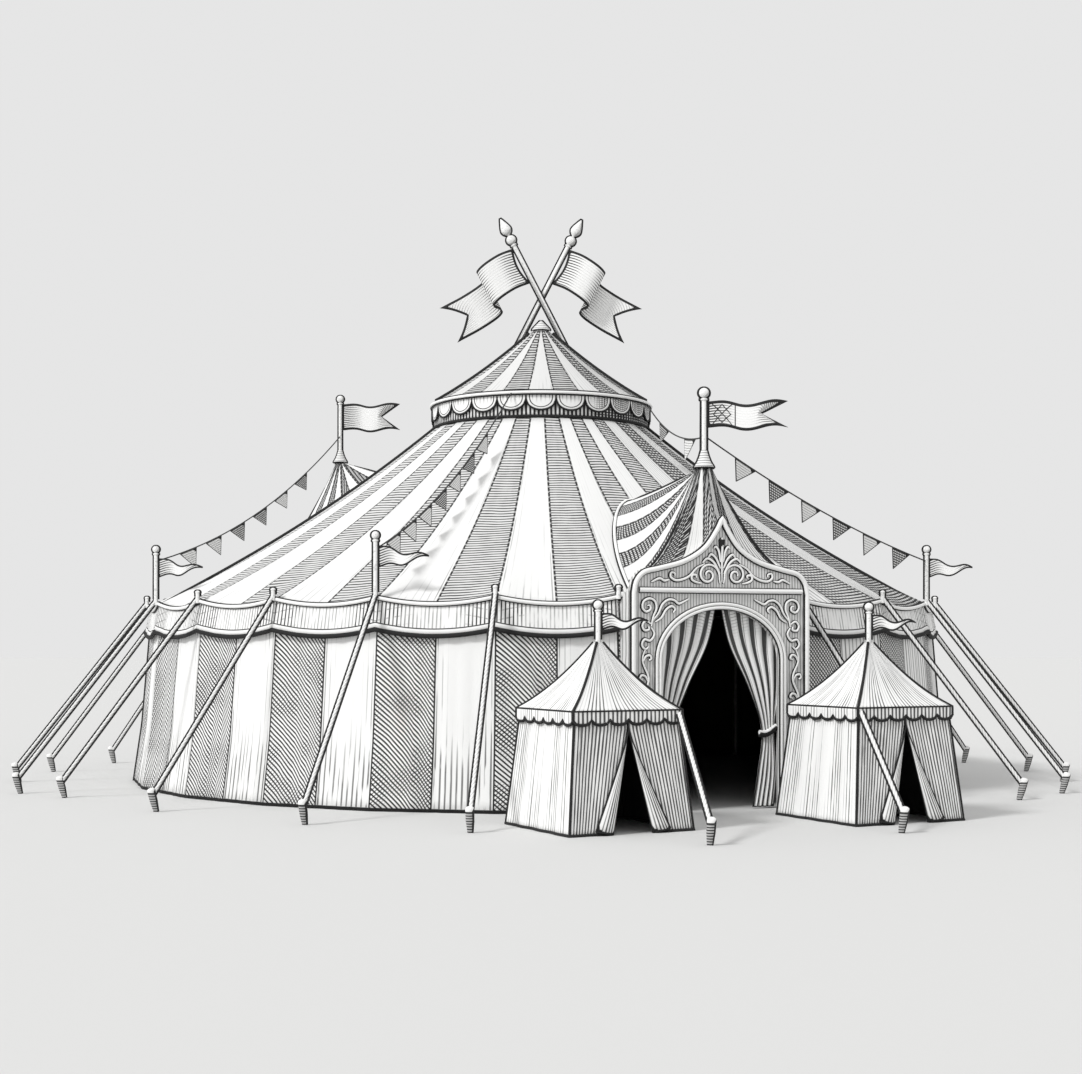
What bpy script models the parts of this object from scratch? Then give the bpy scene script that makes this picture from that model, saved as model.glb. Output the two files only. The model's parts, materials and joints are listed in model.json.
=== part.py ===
"""A circus big top tent, in metres: +Z up, front towards -Y, origin on the ground at the tent's axis."""

from math import atan2, cos, pi, radians, sin, sqrt, tan

import bpy
import bmesh
from mathutils import Vector

# Driving dimensions, in metres and degrees. Azimuths run from the front towards +X.
GAP = 0.0003
CANVAS = 0.03

EAVE_RADIUS = 9.0
EAVE_HEIGHT = 3.98
EAVE_SWAG = 0.13
WALL_HEAD_RADIUS = 8.985
WALL_FOOT_RADIUS = 9.4
WALL_KNEE_RADIUS = 9.21
WALL_KNEE_HEIGHT = 1.3

PORTAL_AZIMUTH = 21.05
PORTAL_HALF_ANGLE = 12.0
RIGHT_POSTS = (33.05, 49.3, 65.3)
REAR_POST = 219.1
LEFT_POSTS = (295.0, 310.25, 325.4, 340.15, 354.7, 369.05)
PLAIN_BAYS = 22
WIDEST_BAY = 16.25

CROWN_RADIUS = 2.47
CROWN_ROOF_HEIGHT = 8.17
CROWN_RIM_HEIGHT = 8.70
ROOF_SAG = 0.3
CUPOLA_RADIUS = 2.60
CUPOLA_TOP_RADIUS = 0.16
CUPOLA_TOP_HEIGHT = 10.52
CUPOLA_SAG = 0.10
CUPOLA_STRIPES = 28
CUPOLA_ROWS = 5
SCALLOPS = 24

POST_RADIUS = 0.05
POST_CIRCLE = 8.80
RAIL_TOP = 3.90
RAIL_DEPTH = 0.10
POST_TOP = 4.015

VALANCE_THICK = 0.025
VALANCE_TOP = 4.0
VALANCE_DROP = 0.60
VALANCE_FLARE = 0.12

ROPE_RADIUS = 0.04
GUY_RADIUS = 0.045
PEG_CIRCLE = 9.10
PEG_RADIUS = 0.045
PEG_TOP = 4.18
FLAG_PEG_TOP = 5.08
STAKE_CIRCLE = 11.9
FRONT_STAKE_CIRCLE = 12.5
STAKE_HEIGHT = 0.45
STAKE_RADIUS = 0.075
STAKE_LEAN = 0.12
GUY_END_HEIGHT = 0.30

CROSSED_RADIUS = 0.055
MAST_RADIUS = 0.06
MAST_TIP_RADIUS = 0.05
CANOPY_HOLE = 0.15

PORTAL_FACE = 9.33
PORTAL_BACK = 9.21
PORTAL_HALF_WIDTH = 1.84
ARCH_HALF_WIDTH = 1.225
ARCH_SPRING = 2.80
ARCH_TOP = 3.74

PORCH_TOP = 6.43
PORCH_RIDGE_END = 5.13
PORCH_MAST_TOP = 7.95
REAR_AZIMUTH = REAR_POST - 360
REAR_BAY = 15.3
REAR_TOP = 8.12
REAR_RIDGE_END = 3.70
REAR_MAST_TOP = 9.97

BOOTH_BASE = 2.35
BOOTH_EAVE = 1.97
BOOTH_EAVE_HEIGHT = 2.0
BOOTH_PEAK = 3.12
BOOTH_POLE_TOP = 3.83
BOOTH_TURN = 27.0
BOOTH_POLE_RADIUS = 0.045
BOOTH_WALL_TOP = 1.94
BOOTH_SKIRT_LOW = 1.78
BOOTH_CLOTH = 0.028
BOOTH_SKIRT_HALF = (
    (BOOTH_BASE + (BOOTH_EAVE - BOOTH_BASE) * BOOTH_SKIRT_LOW / BOOTH_WALL_TOP) / 2 + BOOTH_CLOTH + GAP
)

LOOKS = {
    "canvas": ((0.72, 0.72, 0.70), 0.85, 0.0),
    "dark_canvas": ((0.25, 0.25, 0.25), 0.85, 0.0),
    "wood": ((0.55, 0.55, 0.53), 0.6, 0.0),
    "carved_board": ((0.50, 0.50, 0.49), 0.6, 0.0),
    "rope": ((0.78, 0.78, 0.75), 0.9, 0.0),
    "bunting": ((0.45, 0.45, 0.44), 0.85, 0.0),
    "finial": ((0.66, 0.66, 0.64), 0.4, 0.0),
}


def clear_scene():
    for thing in list(bpy.data.objects):
        bpy.data.objects.remove(thing)


def material(look):
    """The Principled material of one finish, made once."""
    made = bpy.data.materials.get(look)
    if made:
        return made
    colour, roughness, metallic = LOOKS[look]
    made = bpy.data.materials.new(look)
    made.use_nodes = True
    shader = made.node_tree.nodes["Principled BSDF"]
    shader.inputs["Base Color"].default_value = (*colour, 1)
    shader.inputs["Roughness"].default_value = roughness
    shader.inputs["Metallic"].default_value = metallic
    return made


def polar(radius, azimuth, height):
    """A point by its distance from the tent's axis, its azimuth from the front and its height."""
    angle = radians(azimuth)
    return Vector((radius * sin(angle), -radius * cos(angle), height))


def portal_point(along, out, height):
    """A point by its offset along the portal, its distance from the tent's axis square to it, and its height."""
    angle = radians(PORTAL_AZIMUTH)
    return Vector((out * sin(angle) + along * cos(angle), -out * cos(angle) + along * sin(angle), height))


def mix(low, high, share):
    return low + (high - low) * share


def smooth_path(knots, steps):
    """Points of a smooth curve through the knots, each a tuple of numbers."""
    knots = [Vector(knot) for knot in knots]
    ends = [2 * knots[0] - knots[1], *knots, 2 * knots[-1] - knots[-2]]
    points = []
    for first, second, third, fourth in zip(ends, ends[1:], ends[2:], ends[3:]):
        for step in range(steps):
            t = step / steps
            bend = 2 * first - 5 * second + 4 * third - fourth
            twist = 3 * (second - third) + fourth - first
            points.append(0.5 * (2 * second + (third - first) * t + bend * t**2 + twist * t**3))
    points.append(knots[-1])
    return points


def mesh_object(name, points, faces, look):
    """One named object from points and faces, with its faces turned outwards."""
    mesh = bpy.data.meshes.new(name)
    mesh.from_pydata([tuple(point) for point in points], [], faces)
    solid = bmesh.new()
    solid.from_mesh(mesh)
    bmesh.ops.recalc_face_normals(solid, faces=solid.faces)
    solid.to_mesh(mesh)
    solid.free()
    mesh.materials.append(material(look))
    thing = bpy.data.objects.new(name, mesh)
    bpy.context.scene.collection.objects.link(thing)
    return thing


def split(quad):
    """A quad as two triangles, always across the same corners, so that both sides of a sheet match."""
    a, b, c, d = quad
    return [(a, b, c), (a, c, d)]


def sheet(name, outer, inner, look, around=False):
    """A closed sheet between two equal grids of points, open or running all the way around."""
    rows = len(outer)
    columns = len(outer[0])
    points = [point for side in (outer, inner) for row in side for point in row]

    def at(side, row, column):
        return (side * rows + row) * columns + column % columns

    faces = []
    spans = columns if around else columns - 1
    for column in range(spans):
        after = column + 1
        for row in range(rows - 1):
            for side in (0, 1):
                faces += split(
                    (at(side, row, column), at(side, row, after), at(side, row + 1, after), at(side, row + 1, column))
                )
        for row in (0, rows - 1):
            faces += split((at(0, row, column), at(1, row, column), at(1, row, after), at(0, row, after)))
    if not around:
        for column in (0, columns - 1):
            for row in range(rows - 1):
                faces += split((at(0, row, column), at(0, row + 1, column), at(1, row + 1, column), at(1, row, column)))
    return mesh_object(name, points, faces, look)


def loft(name, rings, look):
    """A closed solid through equal rings of points, with flat ends."""
    sides = len(rings[0])
    points = [point for ring in rings for point in ring]
    faces = [tuple(range(sides)), tuple(range((len(rings) - 1) * sides, len(rings) * sides))]
    for row in range(len(rings) - 1):
        for side in range(sides):
            after = (side + 1) % sides
            faces.append((row * sides + side, row * sides + after, (row + 1) * sides + after, (row + 1) * sides + side))
    return mesh_object(name, points, faces, look)


def circle(centre, radius, sides, across, along, turn=0.5):
    """A ring of points about a centre, in the plane of two unit vectors."""
    angles = [2 * pi * (side + turn) / sides for side in range(sides)]
    return [centre + radius * (cos(angle) * across + sin(angle) * along) for angle in angles]


def turned(name, foot, profile, look, sides=8):
    """A round upright solid from (radius, height) pairs, with a flat facet towards +X."""
    east = Vector((1, 0, 0))
    north = Vector((0, 1, 0))
    rings = [circle(Vector((foot.x, foot.y, height)), radius, sides, east, north) for radius, height in profile]
    return loft(name, rings, look)


def rod(name, start, end, radius, look, sides=6, start_side=None):
    """A round bar whose end faces are upright; start_side turns its first face to lie along a wall."""
    run = Vector((end.x - start.x, end.y - start.y, 0)).normalized()
    side = Vector((-run.y, run.x, 0))
    up = Vector((0, 0, 1))
    first = circle(start, radius, sides, start_side or side, up)
    return loft(name, [first, circle(end, radius, sides, side, up)], look)


def rope(name, points, radius, look, sides=6):
    """A rope through level or gently swagged points, with upright end faces."""
    up = Vector((0, 0, 1))
    rings = []
    for index, point in enumerate(points):
        before = points[max(index - 1, 0)]
        after = points[min(index + 1, len(points) - 1)]
        run = Vector((after.x - before.x, after.y - before.y, 0)).normalized()
        side = Vector((-run.y, run.x, 0))
        rings.append(circle(point, radius, sides, side, up))
    return loft(name, rings, look)


def plate(name, outline, place, low, high, look):
    """A flat plate: an outline of (along, height) pairs between two depths, put in the world by place."""
    rings = [[place(along, depth, height) for along, height in outline] for depth in (low, high)]
    return loft(name, rings, look)


def hide_tool(tool):
    tool.hide_render = True
    tool.display_type = "WIRE"


def cut(target, tool):
    """Takes the tool's shape away from the target, and keeps the tool as a hidden guide."""
    change = target.modifiers.new("cut", "BOOLEAN")
    change.operation = "DIFFERENCE"
    change.solver = "EXACT"
    change.object = tool
    hide_tool(tool)


def fuse(name, parts, look):
    """One body from several that run into each other."""
    first = parts[0]
    helpers = bpy.data.collections.new(name + "_parts")
    for part in parts[1:]:
        helpers.objects.link(part)
    change = first.modifiers.new("join", "BOOLEAN")
    change.operation = "UNION"
    change.solver = "EXACT"
    change.operand_type = "COLLECTION"
    change.collection = helpers
    bpy.context.view_layer.update()
    depsgraph = bpy.context.evaluated_depsgraph_get()
    whole = bpy.data.meshes.new_from_object(first.evaluated_get(depsgraph))
    for part in parts:
        bpy.data.objects.remove(part)
    bpy.data.collections.remove(helpers)
    whole.name = name
    whole.materials.clear()
    whole.materials.append(material(look))
    thing = bpy.data.objects.new(name, whole)
    bpy.context.scene.collection.objects.link(thing)
    return thing


def post_azimuths():
    """The 23 posts, from the portal's right-hand post round the back to its left-hand one."""
    right_back = [mix(RIGHT_POSTS[-1], REAR_POST, step / 10) for step in range(1, 10)]
    left_back = [mix(REAR_POST, LEFT_POSTS[0], step / 5) for step in range(5)]
    return [*RIGHT_POSTS, *right_back, *left_back, *LEFT_POSTS]


def eave_columns():
    """Azimuth, polygon factor and swag of each post and bay middle, from the portal round to the portal."""
    azimuths = post_azimuths()
    columns = [(azimuths[0], 1.0, 0.0)]
    for azimuth, after in zip(azimuths, azimuths[1:]):
        columns.append(((azimuth + after) / 2, cos(radians((after - azimuth) / 2)), 1.0))
        columns.append((after, 1.0, 0.0))
    return columns


def portal_columns():
    """The same for the points inside the portal's bay, which the round ring of columns ends with."""
    columns = []
    for share in (-0.5, 0.0, 0.5):
        angle = share * PORTAL_HALF_ANGLE
        factor = cos(radians(PORTAL_HALF_ANGLE)) / cos(radians(angle))
        columns.append((360 + PORTAL_AZIMUTH + angle, factor, 1 - share**2))
    return columns


def roof_height(share):
    """Height of the main roof at a share of the way from crown to eave."""
    return mix(CROWN_ROOF_HEIGHT, EAVE_HEIGHT, share) - 4 * ROOF_SAG * share * (1 - share)


def roof_point(share, column, lift=0.0):
    azimuth, factor, swag = column
    out = mix(CROWN_RADIUS, EAVE_RADIUS * factor, share)
    return polar(out, azimuth, roof_height(share) - swag * EAVE_SWAG * share**6 + lift)


ROOF_ROWS = 6


def roof_rows(lift):
    columns = eave_columns() + portal_columns()
    return [[roof_point(row / ROOF_ROWS, column, lift) for column in columns] for row in range(ROOF_ROWS + 1)]


def roof_cutter(name):
    """Everything under the main roof's outer face, with the seating gap, to trim what rests on it."""
    depth = 2.0
    grids = [roof_rows(GAP), roof_rows(-depth)]
    for rows in grids:
        for point in rows[-1]:
            point.xy *= 1 + GAP / 2
    return sheet(name, grids[0], grids[1], "canvas", around=True)


def king_pole():
    radius = 0.11
    profile = [(0.3, 0), (0.3, 0.05), (radius, 0.09), (radius, 10.5)]
    turned("king_pole", Vector((0, 0, 0)), profile, "wood", sides=12)


def crown_frame():
    """The hoop that carries the crown, its eight spokes, and the hub on the king pole."""
    sides = 24
    low, high = 8.08, 8.66
    grid = []
    outer = CROWN_RADIUS * cos(radians(WIDEST_BAY / 4)) - GAP
    for radius in (outer, outer - 0.07):
        grid.append([[polar(radius, 360 * side / sides, height) for side in range(sides)] for height in (low, high)])
    parts = [sheet("hoop", grid[0], grid[1], "wood", around=True)]
    grid = []
    for radius in (0.2, 0.11 + GAP):
        grid.append([[polar(radius, 30 * side + 15, height) for side in range(12)] for height in (8.2, 8.5)])
    parts.append(sheet("hub", grid[0], grid[1], "wood", around=True))
    for spoke in range(8):
        azimuth = 45 * spoke + 7.5
        start = polar(0.17, azimuth, 8.35)
        end = polar(CROWN_RADIUS - 0.04, azimuth, 8.35)
        parts.append(rod("spoke", start, end, 0.05, "wood", sides=4))
    fuse("crown_frame", parts, "wood")


def under_cupola(radius):
    """Height just under the cupola's inner face on one of its seams, at a distance from the axis."""
    last = cupola_point(1 - 1 / CUPOLA_ROWS, 0).z
    share = (radius - CUPOLA_TOP_RADIUS) / (CUPOLA_RADIUS - CUPOLA_TOP_RADIUS)
    return mix(last, CROWN_RIM_HEIGHT, (share - 1) * CUPOLA_ROWS + 1) - CANVAS - GAP


def crown_drum():
    """The upright canvas band between the main roof and the cupola, with its seams under the cupola's seams."""
    sides = CUPOLA_STRIPES
    inner = 2.50
    roof_share = (inner * cos(pi / sides) - CROWN_RADIUS) / (EAVE_RADIUS - CROWN_RADIUS)
    low = roof_height(roof_share) + 2 * GAP
    grids = []
    for radius in (inner + CANVAS, inner):
        levels = (low, under_cupola(radius))
        grids.append([[polar(radius, 360 * side / sides, height) for side in range(sides)] for height in levels])
    sheet("crown_drum", grids[0], grids[1], "canvas", around=True)


def crown_valance():
    """The band of 24 half-round scallops that hangs under the cupola's edge, in front of the drum."""
    steps = 4
    half = 0.5
    drop = 0.26
    joint = 8.56
    outer = 2.57
    top = under_cupola(outer / cos(pi / CUPOLA_STRIPES))
    grids = []
    for radius in (outer, outer - 0.025):
        upper = []
        lower = []
        for side in range(SCALLOPS * steps):
            share = side % steps / steps
            depth = drop * sqrt(max(0.0, 1 - ((share - half) / half) ** 2))
            azimuth = 360 / SCALLOPS * (side / steps - half)
            upper.append(polar(radius, azimuth, top))
            lower.append(polar(radius, azimuth, joint - depth))
        grids.append([upper, lower])
    sheet("crown_valance", grids[0], grids[1], "canvas", around=True)


def cupola_point(share, side, lift=0.0):
    out = mix(CUPOLA_TOP_RADIUS, CUPOLA_RADIUS, share)
    height = mix(CUPOLA_TOP_HEIGHT, CROWN_RIM_HEIGHT, share) - 4 * CUPOLA_SAG * share * (1 - share)
    return polar(out, 360 * side / CUPOLA_STRIPES, height + lift)


def cupola_rows(lift):
    return [
        [cupola_point(row / CUPOLA_ROWS, side, lift) for side in range(CUPOLA_STRIPES)]
        for row in range(CUPOLA_ROWS + 1)
    ]


def cupola_roof():
    sheet("cupola_roof", cupola_rows(0), cupola_rows(-CANVAS), "canvas", around=True)


def crown_cap():
    """The small cone over the cupola's open top, resting on the king pole."""
    profile = [(0.22, CUPOLA_TOP_HEIGHT + GAP), (0.22, CUPOLA_TOP_HEIGHT + 0.03), (0.12, 10.65), (0.03, 10.75)]
    turned("crown_cap", Vector((0, 0, 0)), profile, "canvas", sides=12)


def crossed_pole_line(side):
    """Foot and direction of the crossed pole that leans to one side; the two lie face to face where they cross."""
    offset = CROSSED_RADIUS * cos(pi / 8) + GAP / 2
    foot = Vector((-0.636 * side, offset * side, 10.03))
    ball = Vector((0.70 * side, offset * side, 12.64))
    return foot, (ball - foot).normalized(), (ball - foot).length


def crossed_pole(name, side):
    """A pole that leans to one side over the crown, with a ball and a spear head."""
    depth = Vector((0, 1, 0))
    foot, run, length = crossed_pole_line(side)
    across = run.cross(depth).normalized()
    thick = CROSSED_RADIUS
    profile = [
        (thick, 0.0), (thick, length - 0.12), (0.10, length - 0.08), (0.12, length), (0.10, length + 0.08),
        (0.05, length + 0.12), (0.055, length + 0.15), (0.12, length + 0.26), (0.09, length + 0.38),
        (0.02, length + 0.56),
    ]
    rings = [circle(foot + run * height, radius, 8, across, depth) for radius, height in profile]
    pole = loft(name, rings, "finial")
    tool = sheet(name + "_seat", cupola_rows(GAP), cupola_rows(-1.2), "canvas", around=True)
    cut(pole, tool)


def wavy_sheet(name, grid, normals, thickness, look):
    half = thickness / 2
    outer = [[point + normal * half for point, normal in zip(row, line)] for row, line in zip(grid, normals)]
    inner = [[point - normal * half for point, normal in zip(row, line)] for row, line in zip(grid, normals)]
    return sheet(name, outer, inner, look)


def crossed_banner(name, side):
    """A swallow-tailed banner folded once over itself, tied to a crossed pole."""
    east = Vector((side, 0, 0))
    up = Vector((0, 0, 1))
    depth = Vector((0, 1, 0))
    foot, run, length = crossed_pole_line(side)
    outwards = (east - east.project(run)).normalized()
    start = foot + run * (length - 1.10) + outwards * (CROSSED_RADIUS * cos(pi / 8) + GAP)
    hoist = run * 0.92
    knots = [
        (0, 0, 0), (0.35, -0.10, -0.16), (0.70, -0.14, -0.40), (0.86, -0.02, -0.56), (0.74, 0.10, -0.60),
        (0.66, 0.17, -0.66), (0.80, 0.28, -0.80), (1.20, 0.30, -1.06), (1.62, 0.24, -1.30),
    ]
    path = smooth_path(knots, 2)
    count = len(path) - 1
    notch = 0.34
    grid = [[], [], []]
    normals = [[], [], []]
    for index, point in enumerate(path):
        before = path[max(index - 1, 0)]
        after = path[min(index + 1, count)]
        way = after - before
        way = way.x * east + way.y * depth + way.z * up
        normal = way.cross(hoist).normalized()
        if index == 0:
            normal = -side * depth
        spine = start + point.x * east + point.y * depth + point.z * up
        share = index / count
        for row, level in enumerate((0.0, 0.5, 1.0)):
            back = notch * max(0.0, (share - 0.75) * 4) if row == 1 else 0.0
            grid[row].append(spine + hoist * level - way.normalized() * back)
            normals[row].append(normal)
    wavy_sheet(name, grid, normals, 0.02, "canvas")


def side_flag(name, hoist_low, height, length, look, tail=0.0, tip=0.0, wave=0.07):
    """A flag streaming towards +X: a swallow tail where tail is set, or a pennant that narrows to tip."""
    count = 8
    grid = []
    normals = []
    for level in (0.0, 0.5, 1.0):
        row = []
        line = []
        for step in range(count + 1):
            share = step / count
            reach = length * share - (tail * max(0.0, share - 0.6) / 0.4 if level == 0.5 else 0.0)
            sway = wave * sin(2.2 * pi * share)
            narrow = mix(1.0, tip, share) if tip else 1.0
            lift = height * (0.5 + (level - 0.5) * narrow) + 0.5 * sway * share
            row.append(hoist_low + Vector((reach, sway * min(1.0, 3 * share), lift)))
            slope = wave * 2.2 * pi * cos(2.2 * pi * share) / length
            line.append(Vector((-slope * min(1.0, 3 * share), 1, 0)).normalized())
        grid.append(row)
        normals.append(line)
    wavy_sheet(name, grid, normals, 0.02, look)


def main_roof():
    roof = sheet("main_roof", roof_rows(0), roof_rows(-CANVAS), "canvas", around=True)
    for label, foot in (("porch", porch_mast_foot()), ("rear", rear_mast_foot())):
        profile = [(MAST_RADIUS + 0.004, foot.z - 0.02), (MAST_RADIUS + 0.004, foot.z + 0.7)]
        cut(roof, turned(label + "_mast_hole", foot, profile, "canvas"))


def porch_mast_foot():
    out = POST_CIRCLE * cos(radians(PORTAL_HALF_ANGLE))
    return portal_point(0, out, RAIL_TOP + GAP)


def rear_mast_foot():
    return polar(POST_CIRCLE, REAR_AZIMUTH, RAIL_TOP + GAP)


def eave_frame():
    """The posts on the ground, and the rails that join their heads."""
    azimuths = post_azimuths()
    section = POST_CIRCLE - 0.05, POST_CIRCLE + 0.05
    grids = []
    for radius in reversed(section):
        levels = (RAIL_TOP - RAIL_DEPTH, RAIL_TOP)
        grids.append([[polar(radius, azimuth, level) for azimuth in azimuths] for level in levels])
    parts = [sheet("rails", grids[0], grids[1], "wood", around=True)]
    for azimuth in azimuths:
        carries_mast = abs(azimuth - 360 - REAR_AZIMUTH) < 1
        top = RAIL_TOP - 0.02 if carries_mast else POST_TOP
        profile = [(POST_RADIUS, 0), (POST_RADIUS, top)]
        parts.append(turned("post", polar(POST_CIRCLE, azimuth, 0), profile, "wood", sides=6))
    fuse("eave_frame", parts, "wood")


def wall_radius(height):
    if height < WALL_KNEE_HEIGHT:
        return mix(WALL_FOOT_RADIUS, WALL_KNEE_RADIUS, height / WALL_KNEE_HEIGHT)
    rise = (height - WALL_KNEE_HEIGHT) / (EAVE_HEIGHT - WALL_KNEE_HEIGHT)
    return mix(WALL_KNEE_RADIUS, WALL_HEAD_RADIUS, rise)


WALL_LENGTHS = [4, 4, 3, 3, 4, 4]


def wall_point(column, height, inset):
    azimuth, factor, _ = column
    return polar((wall_radius(height) - inset) * factor, azimuth, height)


def wall_end(side, height, inset):
    """Where the wall meets the portal's side, on the portal bay's straight line."""
    out = (wall_radius(height) - inset) * cos(radians(PORTAL_HALF_ANGLE))
    return portal_point(side * (PORTAL_HALF_WIDTH + GAP), out, height)


def walls():
    """Six lengths of side wall, hung under the roof's edge."""
    columns = eave_columns()
    start = 0
    nudge = 0.001
    for number, bays in enumerate(WALL_LENGTHS, 1):
        piece = columns[2 * start:2 * (start + bays) + 1]
        if number > 1:
            azimuth, factor, swag = piece[0]
            piece[0] = (azimuth + nudge, factor, swag)
        if number < len(WALL_LENGTHS):
            azimuth, factor, swag = piece[-1]
            piece[-1] = (azimuth - nudge, factor, swag)
        sides = []
        for inset in (0.0, CANVAS):
            rows = []
            for level in (0.0, WALL_KNEE_HEIGHT, None):
                heights = [EAVE_HEIGHT - CANVAS - GAP - EAVE_SWAG * column[2] if level is None else level
                           for column in piece]
                row = [wall_point(column, height, inset) for column, height in zip(piece, heights)]
                if number == 1:
                    row.insert(0, wall_end(1, heights[0] - (0.0 if level is not None else 0.02), inset))
                if number == len(WALL_LENGTHS):
                    row.append(wall_end(-1, heights[-1] - (0.0 if level is not None else 0.02), inset))
                rows.append(row)
            sides.append(rows)
        sheet(f"wall_{number}", sides[0], sides[1], "canvas")
        start += bays


def eave_valance():
    """The swagged strip that hangs outside the roof's edge, from one side of the portal to the other."""
    sides = []
    for inset in (VALANCE_THICK, 0.0):
        rows = []
        for drop, flare in ((0.0, 0.0), (VALANCE_DROP, VALANCE_FLARE)):
            row = []
            for azimuth, factor, swag in eave_columns():
                radius = EAVE_RADIUS + GAP + inset + flare
                row.append(polar(radius * factor, azimuth, VALANCE_TOP - drop - swag * EAVE_SWAG))
            rows.append(row)
        sides.append(rows)
    sheet("eave_valance", sides[0], sides[1], "canvas")


GUY_GROUPS = [4, 4, 4, 4, 4, 3]
FLAG_POSTS = (-65.0, -19.85, 65.3)
SPLAYED_STAKES = {33.05: (7.2, -7.74), 49.3: (9.5, -6.5), -34.6: (-7.1, -8.9), -49.75: (-9.6, -6.0)}
BARE_POST = 9.05


def near(azimuth, other, within=0.6):
    turn = (azimuth - other) % 360
    return min(turn, 360 - turn) < within


def stake(name, foot, outwards):
    """A stake driven at a lean: its head leans away from the tent."""
    east = Vector((1, 0, 0))
    north = Vector((0, 1, 0))
    rings = []
    for radius, height in ((0.7 * STAKE_RADIUS, 0.0), (STAKE_RADIUS, 0.22), (STAKE_RADIUS, STAKE_HEIGHT)):
        lean = outwards * STAKE_LEAN * height / STAKE_HEIGHT
        rings.append(circle(foot + lean + Vector((0, 0, height)), radius, 6, east, north))
    return loft(name, rings, "wood")


def guy_and_stake(start, foot, start_side=None):
    """A guy rope and the stake that it runs into."""
    outwards = Vector((foot.x - start.x, foot.y - start.y, 0)).normalized()
    end = foot + outwards * STAKE_LEAN * GUY_END_HEIGHT / STAKE_HEIGHT + Vector((0, 0, GUY_END_HEIGHT))
    return [stake("stake", foot, outwards), rod("guy", start, end, GUY_RADIUS, "rope", start_side=start_side)]


def guy_foot(azimuth):
    """Where the stake of a post's guy stands."""
    for post, place in SPLAYED_STAKES.items():
        if near(azimuth, post):
            return Vector((*place, 0))
    return polar(FRONT_STAKE_CIRCLE if near(azimuth, -5.3) else STAKE_CIRCLE, azimuth, 0)


def peg(azimuth):
    """The peg at an eave post that the rope is tied to, or a taller one with a ball that flies a pennant."""
    foot = polar(PEG_CIRCLE, azimuth, 0)
    radius = PEG_RADIUS
    if not any(near(azimuth, flag) for flag in FLAG_POSTS):
        return turned("peg", foot, [(radius, 3.92), (radius, PEG_TOP)], "wood")
    profile = [
        (radius, 3.92), (radius, FLAG_PEG_TOP - 0.06), (0.075, FLAG_PEG_TOP), (0.085, FLAG_PEG_TOP + 0.06),
        (0.05, FLAG_PEG_TOP + 0.13),
    ]
    return turned("flag_peg", foot, profile, "wood")


def guy_groups():
    """Eave rope, pegs, guy ropes and stakes of several posts, each group one body."""
    azimuths = post_azimuths()
    columns = eave_columns()
    beside = EAVE_RADIUS + GAP + VALANCE_THICK + VALANCE_FLARE * ROPE_RADIUS / VALANCE_DROP
    rope_circle = beside + (ROPE_RADIUS * cos(pi / 6) + GAP) / cos(radians(WIDEST_BAY / 2))
    rope_height = VALANCE_TOP - ROPE_RADIUS / 2
    start = 0
    for number, count in enumerate(GUY_GROUPS, 1):
        last = min(start + count, PLAIN_BAYS)
        piece = columns[2 * start:2 * last + 1]
        points = [polar(rope_circle * factor, azimuth, rope_height - EAVE_SWAG * swag) for azimuth, factor, swag in piece]
        if last < PLAIN_BAYS:
            points[-1] = mix(points[-1], points[-2], 0.05)
        else:
            points[-1] = points[-1] + (points[-1] - points[-2]).normalized() * 0.02
        parts = [rope("eave_rope", points, ROPE_RADIUS, "rope")]
        for azimuth in azimuths[start:start + count]:
            parts.append(peg(azimuth))
            if not near(azimuth, BARE_POST):
                parts += guy_and_stake(polar(PEG_CIRCLE, azimuth, 4.03), guy_foot(azimuth))
        fuse(f"guys_{number}", parts, "rope")
        start += count


GABLE = [
    (0.0, 5.48), (0.115, 5.26), (0.326, 4.97), (0.578, 4.78), (0.894, 4.64), (1.345, 4.53), (1.63, 4.46),
    (1.787, 4.30),
    (PORTAL_HALF_WIDTH, 4.08),
]


def arch(half_width, top, steps):
    """The arched opening's edge as (along, height) pairs, from its right foot to its left foot."""
    rise = top - ARCH_SPRING
    angles = [pi * step / steps for step in range(steps + 1)]
    curve = [(half_width * cos(angle), ARCH_SPRING + rise * sin(angle)) for angle in angles]
    return [(half_width, 0.0), *curve, (-half_width, 0.0)]


def portal_board():
    """The flat front with its ogee gable and arched doorway, and the two side boards that reach back to the wall."""
    right = [(along, height) for along, height in GABLE]
    left = [(-along, height) for along, height in reversed(GABLE[1:])]
    outline = [(-PORTAL_HALF_WIDTH, 0.0), *left, *right, (PORTAL_HALF_WIDTH, 0.0), *arch(ARCH_HALF_WIDTH, ARCH_TOP, 10)]
    parts = [plate("front", outline, portal_point, PORTAL_BACK, PORTAL_FACE, "carved_board")]
    back = EAVE_RADIUS * cos(radians(PORTAL_HALF_ANGLE)) + GAP
    for side in (-1, 1):
        outer = side * PORTAL_HALF_WIDTH
        inner = side * (PORTAL_HALF_WIDTH - 0.08)
        outline = [(outer, 0.0), (outer, 3.82), (inner, 3.82), (inner, 0.0)]
        parts.append(plate("side_board", outline, portal_point, back, PORTAL_BACK + 0.05, "carved_board"))
    fuse("portal_board", parts, "carved_board")


def band(inner, outer):
    """A closed outline between two edges that run the same way."""
    return [*outer, *reversed(inner)]


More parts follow.
